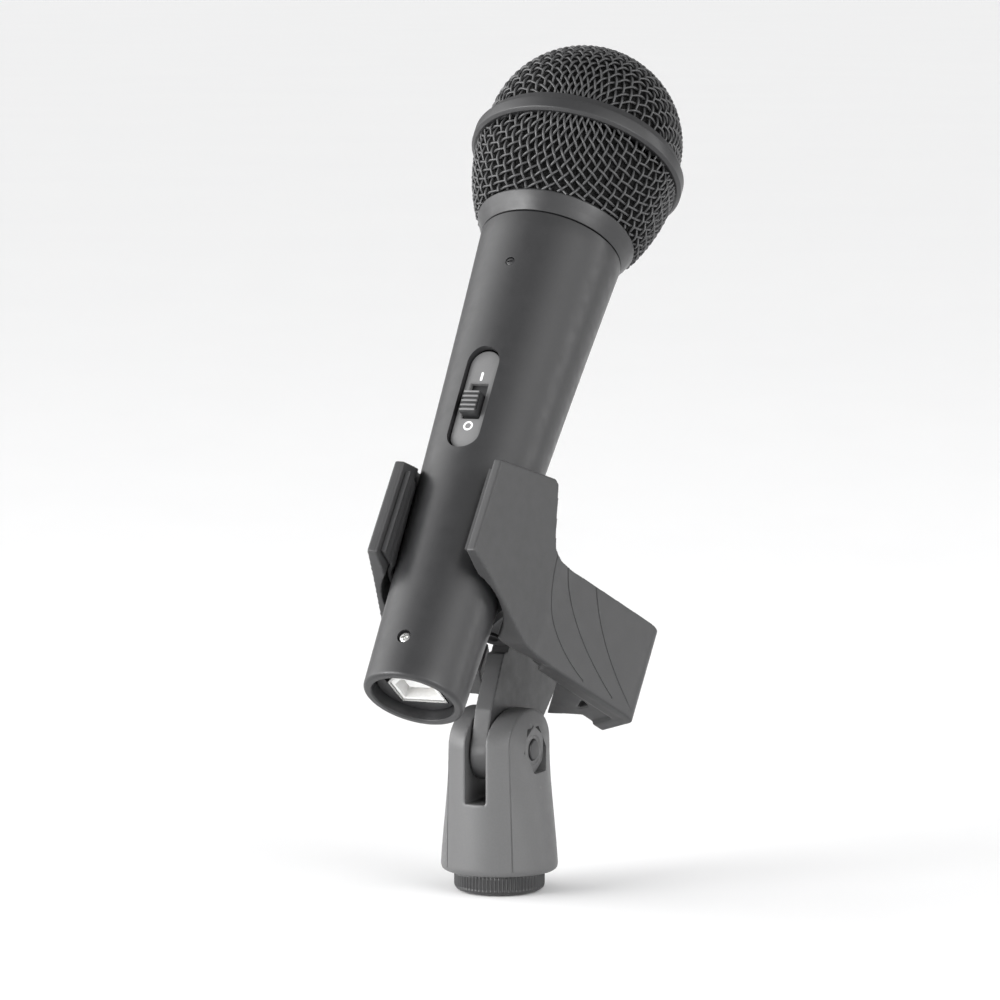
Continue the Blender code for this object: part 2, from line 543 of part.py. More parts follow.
def make_spring(frame):
    """Torsion spring: turns about the pin and a straight leg back to each side."""
    turns, per_turn, coil_r, wire = 3.5, 12, 2.9 * MM, 0.5 * MM
    low, high = 43.3 * MM, 47.3 * MM
    count = int(turns * per_turn)
    path = []
    for i in range(count + 1):
        angle = math.tau * i / per_turn + math.pi
        path.append(Vector((coil_r * math.cos(angle), PIN_BACK + coil_r * math.sin(angle),
                            low + (high - low) * i / count)))
    start = path[0] + Vector((-3.6 * MM, 9.0 * MM, 0))
    end = path[-1] + Vector((3.6 * MM, 9.0 * MM, 0))
    curve = bpy.data.curves.new("torsion_spring", "CURVE")
    curve.dimensions = "3D"
    curve.bevel_depth = wire
    curve.bevel_resolution = 1
    curve.use_fill_caps = True
    spline = curve.splines.new("POLY")
    points = [start, *path, end]
    spline.points.add(len(points) - 1)
    for point, place in zip(spline.points, points):
        point.co = (*place, 1.0)
    curve.materials.append(LOOKS["nickel"])
    spring = bpy.data.objects.new("torsion_spring", curve)
    spring.parent = frame
    bpy.context.scene.collection.objects.link(spring)


# --- stand adapter --------------------------------------------------------------------------------
def clevis_section(height):
    """Round in front and behind, with sides that flatten towards the ears' tops."""
    rise = (height - CLEVIS_LOW) / (EAR_TOP - CLEVIS_LOW)
    edge_x = (8.5 - 0.8 * rise) * MM
    edge_y = math.sqrt(CLEVIS_R ** 2 - edge_x ** 2)
    round_bulge = CLEVIS_R - edge_x
    bulge = round_bulge * (1 - min(rise, 1.0) ** 1.6) + 0.25 * MM
    radius = (edge_y ** 2 + bulge ** 2) / (2 * bulge)
    half = math.degrees(math.asin(edge_y / radius))
    corner = math.degrees(math.atan2(edge_y, edge_x))
    centre = edge_x + bulge - radius
    right = arc((centre, 0), radius, -half, half, 8)
    back = arc((0, 0), CLEVIS_R, corner, 180 - corner, 6)[1:-1]
    left = arc((-centre, 0), radius, 180 - half, 180 + half, 8)
    front = arc((0, 0), CLEVIS_R, 180 + corner, 360 - corner, 6)[1:-1]
    return [(x, y, height) for x, y in right + back + left + front]


def make_clevis():
    bm = bmesh.new()
    heights = [CLEVIS_LOW + (EAR_TOP + 1 * MM - CLEVIS_LOW) * i / 8 for i in range(9)]
    foot = [(x * 0.93, y * 0.93, CLEVIS_LOW) for x, y, z in clevis_section(CLEVIS_LOW)]
    rings = [foot] + [clevis_section(z) for z in [CLEVIS_LOW + 1.3 * MM] + heights[1:]]
    rings = [[bm.verts.new(point) for point in ring] for ring in rings]
    for below, above in zip(rings, rings[1:]):
        for i in range(len(below)):
            k = (i + 1) % len(below)
            bm.faces.new((below[i], below[k], above[k], above[i]))
    bm.faces.new(rings[0])
    bm.faces.new(rings[-1])
    clevis = add_solid("clevis", bm, "stand_plastic")
    width, rise = 13.9 * MM, EAR_TOP - EAR_SPRING_LINE
    top = [(width * math.cos(math.pi * i / 16), EAR_SPRING_LINE + rise * math.sin(math.pi * i / 16))
           for i in range(17)]
    arch = [(width, 0.0), *top, (-width, 0.0)]
    arch = add_solid("ear_arch", prism(arch, -20 * MM, 20 * MM, "x"), None)
    shape_with(clevis, "INTERSECT", arch)
    slot = add_solid("ear_slot", box((0, 0, SLOT_FLOOR + 15 * MM), (SLOT_WIDTH, 40 * MM, 30 * MM)), None)
    hole = shifted(laid_along(rod(BOLT_R + GAP, -20 * MM, 20 * MM, 20), "x"), (0, 0, PIVOT_HEIGHT))
    socket = add_solid("insert_socket", rod(INSERT_R + GAP, 0, 17.3 * MM, 32), None)
    recess = prism([(y, z + PIVOT_HEIGHT) for y, z in hexagon(10.8 * MM, 30)], 7.0 * MM, 20 * MM, "x")
    far_side = shifted(laid_along(rod(5.2 * MM, -20 * MM, -7.0 * MM, 24), "x"), (0, 0, PIVOT_HEIGHT))
    shape_with(clevis, "DIFFERENCE", slot, add_solid("bolt_hole", hole, None), socket,
               add_solid("nut_recess", recess, None), add_solid("head_recess", far_side, None))


def make_swivel_bolt():
    profile = [(0, -8.9 * MM), (4.6 * MM, -8.9 * MM), (4.6 * MM, -7.3 * MM), (BOLT_R, -7.3 * MM),
               (BOLT_R, 8.6 * MM), (0, 8.6 * MM)]
    bolt = laid_along(turned(profile, 24), "x")
    add_solid("swivel_bolt", shifted(bolt, (0, 0, PIVOT_HEIGHT)), "zinc")
    nut = prism([(y, z + PIVOT_HEIGHT) for y, z in hexagon(10.2 * MM, 30)], 7.3 * MM, 8.4 * MM, "x")
    nut = add_solid("swivel_nut", nut, "stand_plastic")
    bore = shifted(laid_along(rod(BOLT_R + GAP, 0, 20 * MM, 20), "x"), (0, 0, PIVOT_HEIGHT))
    shape_with(nut, "DIFFERENCE", add_solid("nut_bore", bore, None))


def make_thread_insert():
    chamfer = 0.8 * MM
    outline = [(STUD_BORE_R, 0), (FLANGE_R - 1.4 * MM, 0), (FLANGE_R - 0.3 * MM, 0.8 * MM),
               (FLANGE_R, 1.8 * MM), (FLANGE_R, FLANGE_HEIGHT), (INSERT_R, FLANGE_HEIGHT),
               (INSERT_R, 17.0 * MM - chamfer), (INSERT_R - chamfer, 17.0 * MM), (STUD_BORE_R, 17.0 * MM)]
    add_solid("thread_insert", turned(outline, 32), "stand_plastic")


# --- assembly -------------------------------------------------------------------------------------
def build():
    make_clevis()
    make_swivel_bolt()
    make_thread_insert()
    tilt = add_empty("tilt_axis", (0, 0, PIVOT_HEIGHT), rotation=(-LEAN, 0, 0))
    clip = add_empty("clip_frame", (0, -AXIS_FORWARD, -PIVOT_ALONG), tilt)
    make_tongue(clip)
    make_hinge(clip)
    make_jaw("jaw_right", 1, clip, RIGHT_KNUCKLES, JAW_LOW, 0.0)
    make_jaw("jaw_left", -1, clip, LEFT_KNUCKLES, LEFT_LOW, LEFT_DROP)
    mic = add_empty("microphone_axis", (0, 0, 0), clip, (0, 0, MIC_TURN))
    switch = add_empty("switch_frame", (0, 0, SWITCH_HEIGHT), mic, (SWITCH_SLOPE, 0, 0))
    make_handle(mic, switch)
    make_screws(mic)
    make_end_insert(mic)
    make_usb_socket(mic)
    make_board(mic)
    make_switch(switch)
    make_head(mic)
    make_foam(mic)
    make_capsule(mic)


clear_scene()
LOOKS = make_materials()
build()
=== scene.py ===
"""Dynamic microphone in a spring clip on a swivel stand adapter: the looks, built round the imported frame.

Pieces are drawn in millimetres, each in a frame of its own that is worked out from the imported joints:
z runs along the microphone and -y is its front in CLIP, MIC and SWITCH, and STAND is the world's frame.
"""
import json
import math

import bmesh
import bpy
from mathutils import Matrix, Vector


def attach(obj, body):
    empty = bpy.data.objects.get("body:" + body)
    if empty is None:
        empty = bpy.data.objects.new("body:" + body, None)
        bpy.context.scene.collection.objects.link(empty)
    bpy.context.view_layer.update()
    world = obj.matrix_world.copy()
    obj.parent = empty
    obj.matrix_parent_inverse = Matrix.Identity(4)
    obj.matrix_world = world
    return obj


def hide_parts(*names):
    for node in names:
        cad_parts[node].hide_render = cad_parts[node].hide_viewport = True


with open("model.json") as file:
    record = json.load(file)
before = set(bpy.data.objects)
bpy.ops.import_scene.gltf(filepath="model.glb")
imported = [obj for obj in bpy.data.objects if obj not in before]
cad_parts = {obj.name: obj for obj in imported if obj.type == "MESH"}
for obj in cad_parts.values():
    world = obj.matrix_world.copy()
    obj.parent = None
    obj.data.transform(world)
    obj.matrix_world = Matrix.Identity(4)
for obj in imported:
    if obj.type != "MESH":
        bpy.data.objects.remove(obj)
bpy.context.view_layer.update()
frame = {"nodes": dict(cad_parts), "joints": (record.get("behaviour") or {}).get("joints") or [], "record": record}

MM = 0.001

# --- frames and driving dimensions, in millimetres ------------------------------------------------
JOINTS = {joint["name"]: joint for joint in frame["joints"]}
PIVOT = Vector(JOINTS["tilt"]["pos_m"])
MIC_AXIS = Vector(JOINTS["microphone_lift"]["axis"])
LEAN = math.atan2(MIC_AXIS.y, MIC_AXIS.z)
AXIS_FORWARD, PIVOT_ALONG = 47.0, 14.1      # microphone axis from the swivel bolt, and the bolt along it
MIC_TURN, SWITCH_SLOPE = math.radians(-2.3), 0.044
SWITCH_HEIGHT, LEFT_DROP = 73.5, 1.7

STAND = Matrix.Scale(MM, 4)
CLIP = (Matrix.Translation(PIVOT) @ Matrix.Rotation(-LEAN, 4, "X") @ STAND
        @ Matrix.Translation((0, -AXIS_FORWARD, -PIVOT_ALONG)))
LEFT_CLIP = CLIP @ Matrix.Translation((0, 0, -LEFT_DROP))
MIC = CLIP @ Matrix.Rotation(MIC_TURN, 4, "Z")
SWITCH = MIC @ Matrix.Translation((0, 0, SWITCH_HEIGHT)) @ Matrix.Rotation(SWITCH_SLOPE, 4, "X")

HANDLE_LENGTH, HANDLE_LOW_R, HANDLE_TOP_R, HANDLE_WAIST, HANDLE_WALL = 123.2, 11.8, 17.2, 0.5, 1.8
END_BORE_R = 9.7
COLLAR_TOP, COLLAR_R = 128.5, 19.4
BAND_LOW, BAND_TOP, BAND_R = 146.5, 152.3, 26.0
BASKET_LOW_R, BASKET_TOP_R = 20.0, 24.8
DOME_R, DOME_CENTRE = 24.0, 154.3
WIRE_R, CRIMP, PITCH = 0.30, 0.32, 2.25     # grille wire, how far it weaves to each side, and its spacing
NET_TURN = math.radians(-24)                # the straight wires' direction round the microphone
NET_STEPS = 4                               # points along a wire for each wire it crosses

SWITCH_WIDTH, SWITCH_LENGTH, SWITCH_FACE = 7.7, 26.4, 12.7
USB_WIDTH, USB_HEIGHT, USB_CORNER = 12.0, 11.0, 2.4

PIN_BACK, PIN_LOW, PIN_TOP, PIN_R, KNUCKLE_R = 28.0, 32.6, 56.2, 1.5, 4.4
RIGHT_KNUCKLES, LEFT_KNUCKLES = ((33.2, 36.2), (53.1, 55.6)), ((38.2, 41.2), (52.0, 54.5))
TONGUE_BARRELS = ((39.8, 42.4), (48.0, 50.0))
CRADLE_R, WALL, FLARE = 14.6, 2.4, math.radians(28.0)
JAW_LOW, LEFT_LOW, JAW_TOP = 22.0, 25.1, 46.8
HANDLE_CORNER_BACK = 44.4
TONGUE_THICK = 4.3

CLEVIS_R, CLEVIS_LOW, EAR_TOP, EAR_SPRING_LINE = 13.7, 4.8, 43.2, 35.0
SLOT_WIDTH, SLOT_FLOOR, BOLT_R = 5.4, 22.0, 2.5
BOLT_HEIGHT = PIVOT.z / MM
FLANGE_R, FLANGE_HEIGHT, STUD_BORE_R, INSERT_R, INSERT_TOP = 10.7, 4.5, 4.75, 7.9, 17.0

# camera, fitted to the photograph's viewing angle
VIEW_AZIMUTH, VIEW_ELEVATION, VIEW_ROLL = math.radians(25.33), math.radians(8.30), math.radians(-0.1)
VIEW_DISTANCE, VIEW_TARGET, LENS = 1.2, Vector((0, 0, 0.050)), 183.68
AIM_RIGHT, AIM_UP = 0.28 * MM, 41.94 * MM
ROOM_GLOW, SIDE_GLOW = 0.34, 12.5


# --- materials ------------------------------------------------------------------------------------
class Nodes:
    """Short calls for building a material's node tree."""

    def __init__(self, name):
        self.material = bpy.data.materials.new(name)
        self.material.use_nodes = True
        self.tree = self.material.node_tree
        self.shader = self.tree.nodes["Principled BSDF"]
        self.place = self.add("ShaderNodeTexCoord").outputs["Object"]

    def add(self, kind, **values):
        node = self.tree.nodes.new(kind)
        for key, value in values.items():
            setattr(node, key, value)
        return node

    def link(self, source, target):
        self.tree.links.new(source, target)

    def noise(self, size, detail=3.0, roughness=0.55):
        """Soft noise whose blotches are about a size in millimetres."""
        node = self.add("ShaderNodeTexNoise")
        node.inputs["Scale"].default_value = 1 / (size * MM)
        node.inputs["Detail"].default_value = detail
        node.inputs["Roughness"].default_value = roughness
        self.link(self.place, node.inputs["Vector"])
        return node.outputs["Fac"]

    def cells(self, size):
        """Round cells about a size in millimetres: the distance from each cell's middle."""
        node = self.add("ShaderNodeTexVoronoi", feature="F1")
        node.inputs["Scale"].default_value = 1 / (size * MM)
        self.link(self.place, node.inputs["Vector"])
        return node.outputs["Distance"]

    def span(self, source, low, high, to_low, to_high):
        """Map the range low to high onto another range, clamped at both ends."""
        node = self.add("ShaderNodeMapRange")
        for name, value in (("From Min", low), ("From Max", high), ("To Min", to_low), ("To Max", to_high)):
            node.inputs[name].default_value = value
        self.link(source, node.inputs["Value"])
        return node.outputs["Result"]

    def blend(self, factor, first, second):
        """Mix two colours; each is a tuple or an output."""
        node = self.add("ShaderNodeMix", data_type="RGBA")
        self.link(factor, node.inputs["Factor"])
        for value, index in ((first, 6), (second, 7)):
            if isinstance(value, tuple):
                node.inputs[index].default_value = (*value, 1.0)
            else:
                self.link(value, node.inputs[index])
        return node.outputs[2]

    def bump(self, height, depth, under=None):
        """Bump whose height spans a depth in millimetres."""
        node = self.add("ShaderNodeBump")
        node.inputs["Strength"].default_value = 1.0
        node.inputs["Distance"].default_value = depth * MM
        self.link(height, node.inputs["Height"])
        if under:
            self.link(under, node.inputs["Normal"])
        return node.outputs["Normal"]


def scaled(colour, factor):
    return tuple(min(1.0, part * factor) for part in colour)


def surface(name, colour, roughness, grain=0.3, depth=0.01, metallic=0.0, mottle=0.12, wear=0.25, gloss=0.5):
    """Moulded, painted or plated surface: mottled colour, worn edges, uneven gloss and a fine grain."""
    n = Nodes(name)
    tint = n.blend(n.noise(9.0), scaled(colour, 1 - mottle), scaled(colour, 1 + mottle))
    fine = n.blend(n.span(n.noise(grain * 2, 5.0), 0.35, 0.65, 0.0, 0.35), tint, scaled(colour, 0.82))
    edges = n.span(n.add("ShaderNodeNewGeometry").outputs["Pointiness"], 0.52, 0.60, 0.0, wear)
    n.link(n.blend(edges, fine, scaled(colour, 2.0)), n.shader.inputs["Base Color"])
    patches = n.span(n.noise(3.0, 4.0), 0.3, 0.7, roughness - 0.06, roughness + 0.06)
    n.link(patches, n.shader.inputs["Roughness"])
    n.link(n.bump(n.noise(grain, 2.0), depth), n.shader.inputs["Normal"])
    n.shader.inputs["Metallic"].default_value = metallic
    n.shader.inputs["Specular IOR Level"].default_value = gloss
    return n.material


def foam_surface(name, colour):
    """Open foam: pores painted dark as shade inside the holes, on a lumpy surface."""
    n = Nodes(name)
    pores = n.cells(0.55)
    # painted shade: each pore's middle goes dark as shade inside the hole, and its rim lighter
    n.link(n.blend(n.span(pores, 0.1, 0.6, 0.0, 1.0), scaled(colour, 0.35), scaled(colour, 1.5)),
           n.shader.inputs["Base Color"])
    n.shader.inputs["Roughness"].default_value = 1.0
    n.shader.inputs["Specular IOR Level"].default_value = 0.1
    lumps = n.bump(n.noise(1.2, 4.0), 0.5)
    n.link(n.bump(pores, 0.35, under=lumps), n.shader.inputs["Normal"])
    return n.material


def board_surface(name, colour):
    """Circuit board: traces under a green mask."""
    n = Nodes(name)
    bricks = n.add("ShaderNodeTexBrick")
    bricks.inputs["Scale"].default_value = 250
    n.link(n.place, bricks.inputs["Vector"])
    n.link(n.blend(bricks.outputs["Fac"], colour, scaled(colour, 1.9)), n.shader.inputs["Base Color"])
    n.link(n.span(n.noise(2.0), 0.3, 0.7, 0.3, 0.5), n.shader.inputs["Roughness"])
    return n.material


def make_looks():
    return {
        "paint": surface("paint", (0.023, 0.023, 0.024), 0.38, 0.45, 0.006, mottle=0.05, wear=0.3),
        "mesh": surface("mesh", (0.04, 0.04, 0.041), 0.34, 0.25, 0.006, mottle=0.12),
        "foam": foam_surface("foam", (0.010, 0.010, 0.010)),
        "black_plastic": surface("black_plastic", (0.022, 0.022, 0.023), 0.5),
        # knob: lighter grey for the switch knob's rib caps, painted light on the rib tops of a black moulding
        "knob": surface("knob", (0.14, 0.14, 0.141), 0.45, 0.2, 0.006, mottle=0.05),
        "clip_plastic": surface("clip_plastic", (0.046, 0.046, 0.047), 0.45, 0.22, 0.012, mottle=0.06,
                                gloss=0.4),
        "stand_plastic": surface("stand_plastic", (0.095, 0.095, 0.096), 0.46, 0.22, 0.012, mottle=0.06),
        "plate_grey": surface("plate_grey", (0.14, 0.14, 0.141), 0.45, 0.2, 0.006, mottle=0.05),
        "rubber": surface("rubber", (0.035, 0.035, 0.036), 0.6, 0.3, 0.02, mottle=0.15),
        "nickel": surface("nickel", (0.55, 0.55, 0.54), 0.26, 0.5, 0.002, metallic=1.0, mottle=0.08),
        "zinc": surface("zinc", (0.35, 0.35, 0.355), 0.36, 0.4, 0.003, metallic=1.0, mottle=0.12),
        "dark_steel": surface("dark_steel", (0.06, 0.06, 0.061), 0.4, 0.4, 0.003, metallic=1.0, mottle=0.12),
        "white_plastic": surface("white_plastic", (0.85, 0.85, 0.84), 0.38, 0.4, 0.004, mottle=0.03,
                                 wear=0.0),
        "copper": surface("copper", (0.5, 0.25, 0.14), 0.35, 0.3, 0.01, metallic=1.0),
        "film": surface("film", (0.5, 0.46, 0.36), 0.3, 0.8, 0.01),
        "gold": surface("gold", (0.75, 0.52, 0.22), 0.25, 0.3, 0.002, metallic=1.0),
        "print": surface("print", (0.80, 0.80, 0.80), 0.6, 0.15, 0.004, wear=0.0),
        "board": board_surface("board", (0.015, 0.07, 0.035)),
    }


LOOKS = make_looks()


# --- outlines -------------------------------------------------------------------------------------
def arc(centre, radius, start, end, steps):
    """Points of a circular arc; the angles are in degrees."""
    angles = [math.radians(start + (end - start) * i / steps) for i in range(steps + 1)]
    return [(centre[0] + radius * math.cos(a), centre[1] + radius * math.sin(a)) for a in angles]


def bezier(start, control, end, steps=8):
    """Points of a curve that leaves its start towards a control point and comes from there to its end."""
    points = []
    for i in range(steps + 1):
        t = i / steps
        points.append(tuple(start[k] * (1 - t) ** 2 + control[k] * 2 * t * (1 - t) + end[k] * t * t
                            for k in range(len(start))))
    return points


def filleted(points, radius, steps=4):
    """Round a closed outline's corners; a point's third value is a radius of its own."""
    rounded = []
    for i, point in enumerate(points):
        corner = Vector(point[:2])
        back = Vector(points[i - 1][:2]) - corner
        ahead = Vector(points[(i + 1) % len(points)][:2]) - corner
        own = point[2] if len(point) > 2 else radius
        half = back.angle(ahead) / 2
        reach = min(own / math.tan(half), 0.48 * back.length, 0.48 * ahead.length) if half < 1.56 else 0.0
        if reach < 1e-3:
            rounded.append(tuple(corner))
            continue
        centre = corner + (back.normalized() + ahead.normalized()).normalized() * (reach / math.cos(half))
        spoke = corner + back.normalized() * reach - centre
        last = corner + ahead.normalized() * reach - centre
        start = math.atan2(spoke.y, spoke.x)
        turn = (math.atan2(last.y, last.x) - start + math.pi) % math.tau - math.pi
        rounded += [tuple(centre + spoke.length * Vector((math.cos(start + turn * k / steps),
                                                         math.sin(start + turn * k / steps))))
                    for k in range(steps + 1)]
    return rounded


def stadium(width, length):
    """Slot outline: straight sides and round ends."""
    half, radius = (length - width) / 2, width / 2
    return arc((0, half), radius, 0, 180, 16) + arc((0, -half), radius, 180, 360, 16)


def hexagon(across_flats):
    return arc((0, 0), across_flats / math.sqrt(3), 0, 300, 5)


def rectangle(width, height, centre=(0.0, 0.0)):
    x, y = centre
    return [(x - width / 2, y - height / 2), (x + width / 2, y - height / 2),
            (x + width / 2, y + height / 2), (x - width / 2, y + height / 2)]


def drawn_in(points, distance):
    """A closed outline moved inwards by a distance."""
    area = sum(points[i - 1][0] * points[i][1] - points[i][0] * points[i - 1][1] for i in range(len(points)))
    inward = 1 if area > 0 else -1
    moved = []
    for i, point in enumerate(points):
        here = Vector(point)
        before, after = here - Vector(points[i - 1]), Vector(points[(i + 1) % len(points)]) - here
        first = Vector((-before.y, before.x)).normalized()
        second = Vector((-after.y, after.x)).normalized()
        moved.append(tuple(here + (first + second) * (inward * distance / max(0.4, 1 + first.dot(second)))))
    return moved


# --- solids ---------------------------------------------------------------------------------------
def joined_rings(rings, closed):
    """Closed surface through rings of points; a closed stack of rings makes a hollow ring."""
    bm = bmesh.new()
    made = [[bm.verts.new(point) for point in ring] for ring in rings]
    pairs = list(zip(made, made[1:])) + ([(made[-1], made[0])] if closed else [])
    for low, high in pairs:
        if len(low) == 1 and len(high) == 1:
            continue
        count = max(len(low), len(high))
        for k in range(count):
            n = (k + 1) % count
            corners = [low[k % len(low)], low[n % len(low)], high[n % len(high)], high[k % len(high)]]
            bm.faces.new(list(dict.fromkeys(corners)))
    if not closed:
        for ring in (made[0], made[-1]):
            if len(ring) > 2:
                bm.faces.new(ring)
    return bm


def turned(outline, segments=96, shape=None):
    """Spin a closed outline of (radius, height) points about z; shape may change a point by its angle."""
    rings = []
    for radius, height in outline:
        if radius < 1e-6:
            rings.append([(0.0, 0.0, height)])
            continue
        ring = []
        for k in range(segments):
            angle = math.tau * k / segments
            r, z = shape(angle, radius, height) if shape else (radius, height)
            ring.append((r * math.cos(angle), r * math.sin(angle), z))
        rings.append(ring)
    return joined_rings(rings, closed=not (len(rings[0]) == 1 and len(rings[-1]) == 1))


def rod(radius, low, high, edge=0.3, segments=48):
    outline = filleted([(0, low, 0), (radius, low), (radius, high), (0, high, 0)], edge)
    return turned(outline, segments)


def tube(inner, outer, low, high, segments):
    return turned(filleted([(inner, low), (outer, low), (outer, high), (inner, high)], 0.0), segments)


ORDERS = {"z": lambda a, b, h: (a, b, h), "x": lambda a, b, h: (h, a, b), "y": lambda a, b, h: (a, h, b)}


def slab(outline, low, high, along="z", edge=0.0):
    """Extrude a closed 2-D outline along an axis, with its two rims rounded to an edge radius."""
    order = ORDERS[along]
    if edge == 0.0:
        levels = [(0.0, low), (0.0, high)]
    else:
        turns = [math.radians(angle) for angle in (0, 30, 60, 90)]
        rise = [(edge * (1 - math.sin(t)), edge * (1 - math.cos(t))) for t in turns]
        levels = [(inset, low + step) for inset, step in rise]
        levels += [(inset, high - step) for inset, step in reversed(rise)]
    rings = []
    for inset, height in levels:
        rings.append([order(a, b, height) for a, b in (drawn_in(outline, inset) if inset else outline)])
    return joined_rings(rings, closed=False)


def laid_along(bm, axis):
    """Turn a shape made along z so that it runs along x or -y."""
    rows = ((0, 0, 1), (0, 1, 0), (-1, 0, 0)) if axis == "x" else ((1, 0, 0), (0, 0, -1), (0, 1, 0))
    bm.transform(Matrix(rows).to_4x4())
    return bm


def shifted(bm, *offset):
    bm.transform(Matrix.Translation(offset))
    return bm


def together(*shapes):
    """One mesh that holds several closed shapes."""
    bm = bmesh.new()
    for shape in shapes:
        mesh = bpy.data.meshes.new("part")
        shape.to_mesh(mesh)
        shape.free()
        bm.from_mesh(mesh)
        bpy.data.meshes.remove(mesh)
    return bm


def carved(base, *steps):
    """Work on a closed shape in steps: (UNION, DIFFERENCE or INTERSECT, shape) or (ROUND, voxel, passes)."""
    def holder(bm):
        bmesh.ops.recalc_face_normals(bm, faces=bm.faces)
        mesh = bpy.data.meshes.new("carving")
        bm.to_mesh(mesh)
        bm.free()
        obj = bpy.data.objects.new("carving", mesh)
        bpy.context.scene.collection.objects.link(obj)
        return obj

    work = holder(base)
    used = [work]
    for step in steps:
        if step[0] == "ROUND":
            remesh = work.modifiers.new("remesh", "REMESH")
            remesh.mode, remesh.voxel_size, remesh.use_smooth_shade = "VOXEL", step[1], True
            if step[2]:
                soften = work.modifiers.new("soften", "SMOOTH")
                soften.factor, soften.iterations = 0.5, step[2]
            continue
        tool = holder(step[1])
        used.append(tool)
        cut = work.modifiers.new("cut", "BOOLEAN")
        cut.operation, cut.solver, cut.object = step[0], "EXACT", tool
    evaluated = work.evaluated_get(bpy.context.evaluated_depsgraph_get())
    bm = bmesh.new()
    bm.from_mesh(evaluated.to_mesh())
    for obj in used:
        bpy.data.meshes.remove(obj.data)
    return bm


def add_piece(name, bm, place, body, look, replaces=(), angle=35):
    """Place a shape drawn in millimetres in a frame as a piece that rides on a CAD body."""
    bmesh.ops.remove_doubles(bm, verts=bm.verts, dist=1e-4)
    bmesh.ops.recalc_face_normals(bm, faces=bm.faces)
    bm.transform(place)
    mesh = bpy.data.meshes.new(name)
    bm.to_mesh(mesh)
    bm.free()
    mesh.validate()
    mesh.shade_smooth()
    mesh.set_sharp_from_angle(angle=math.radians(angle))
    mesh.materials.append(LOOKS[look])
    piece = bpy.data.objects.new(name, mesh)
    bpy.context.scene.collection.objects.link(piece)
    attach(piece, body)
    if replaces:
        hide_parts(*replaces)
    return piece


# --- microphone handle ----------------------------------------------------------------------------
def handle_radius(height):
    along = height / HANDLE_LENGTH
    return HANDLE_LOW_R + (HANDLE_TOP_R - HANDLE_LOW_R) * along - 4 * HANDLE_WAIST * along * (1 - along)


def make_handle():
    levels = [HANDLE_LENGTH * i / 30 for i in range(1, 31)]
    wall_from = 5
    low_rim = filleted([(END_BORE_R, 12.0, 0), (END_BORE_R, 0.35, 0.2), (END_BORE_R + 0.3, 0.0, 0.15),
                        (HANDLE_LOW_R, 0.0, 0.9), (handle_radius(4.1), 4.1, 0)], 0.1, 6)[1:-1]
    outer = [(handle_radius(z), z) for z in levels[:-1]]
    top_rim = filleted([(HANDLE_TOP_R, HANDLE_LENGTH - 2, 0), (HANDLE_TOP_R, HANDLE_LENGTH, 0.25),
                        (HANDLE_TOP_R - HANDLE_WALL, HANDLE_LENGTH, 0.2),
                        (HANDLE_TOP_R - HANDLE_WALL, HANDLE_LENGTH - 2, 0)], 0.0)[1:-1]
    inner = [(handle_radius(z) - HANDLE_WALL, z) for z in reversed(levels[wall_from:-1])]
    outline = low_rim + outer + top_rim + inner + [(END_BORE_R, levels[wall_from - 1])]
    opening = slab(stadium(SWITCH_WIDTH + 0.6, SWITCH_LENGTH + 0.6), -20.0, -11.0, "y")
    opening.transform(MIC.inverted() @ SWITCH)
    end_hole = shifted(laid_along(rod(1.65, 0, 6.0, 0.0, 32), "y"), 0, -8.5, 9.9)
    set_hole = shifted(laid_along(rod(1.15, 0, 6.0, 0.0, 24), "y"), 0, -13.2, 109.3)
    holes = [("DIFFERENCE", hole) for hole in (opening, end_hole, set_hole)]
    bm = carved(turned(outline, 144), *holes)
    add_piece("handle", bm, MIC, "microphone", "paint", ["handle_body"])


def cross_screw(radius, face, depth, slots):
    """Domed screw head along z, its face at a height of its own, with driver slots cut in at some angles."""
    head = turned(filleted([(0, face - depth, 0), (radius, face - depth, 0), (radius, face, 0.35),
                            (0, face + 0.12, 0)], 0.2), 48)
    for turn in slots:
        slot = slab(filleted(rectangle(radius * 1.35, 0.36), 0.15), face - 0.55, face + 1.0)
        slot.transform(Matrix.Rotation(math.radians(turn), 4, "Z"))
        head = carved(head, ("DIFFERENCE", slot))
    return head


def make_screws():
    end = cross_screw(1.38, handle_radius(9.9) - 0.55, 2.0, (8, 98))
    add_piece("end_screw_head", shifted(laid_along(end, "y"), 0, 0, 9.9), MIC, "microphone", "nickel",
              ["end_screw"], angle=30)
    grub = cross_screw(1.06, handle_radius(109.3) - 0.12, 1.2, (12,))
    add_piece("set_screw_head", shifted(laid_along(grub, "y"), 0, 0, 109.3), MIC, "microphone", "paint",
              ["set_screw"], angle=30)


def socket_outline(inset):
    """Type B socket outline, its two sloping corners towards the front."""
    w, h = USB_WIDTH / 2 - inset, USB_HEIGHT / 2 - inset
    cut = USB_CORNER
    return filleted([(-w, h), (w, h), (w, cut - h), (w - cut, -h), (cut - w, -h), (-w, cut - h)], 0.35, 3)


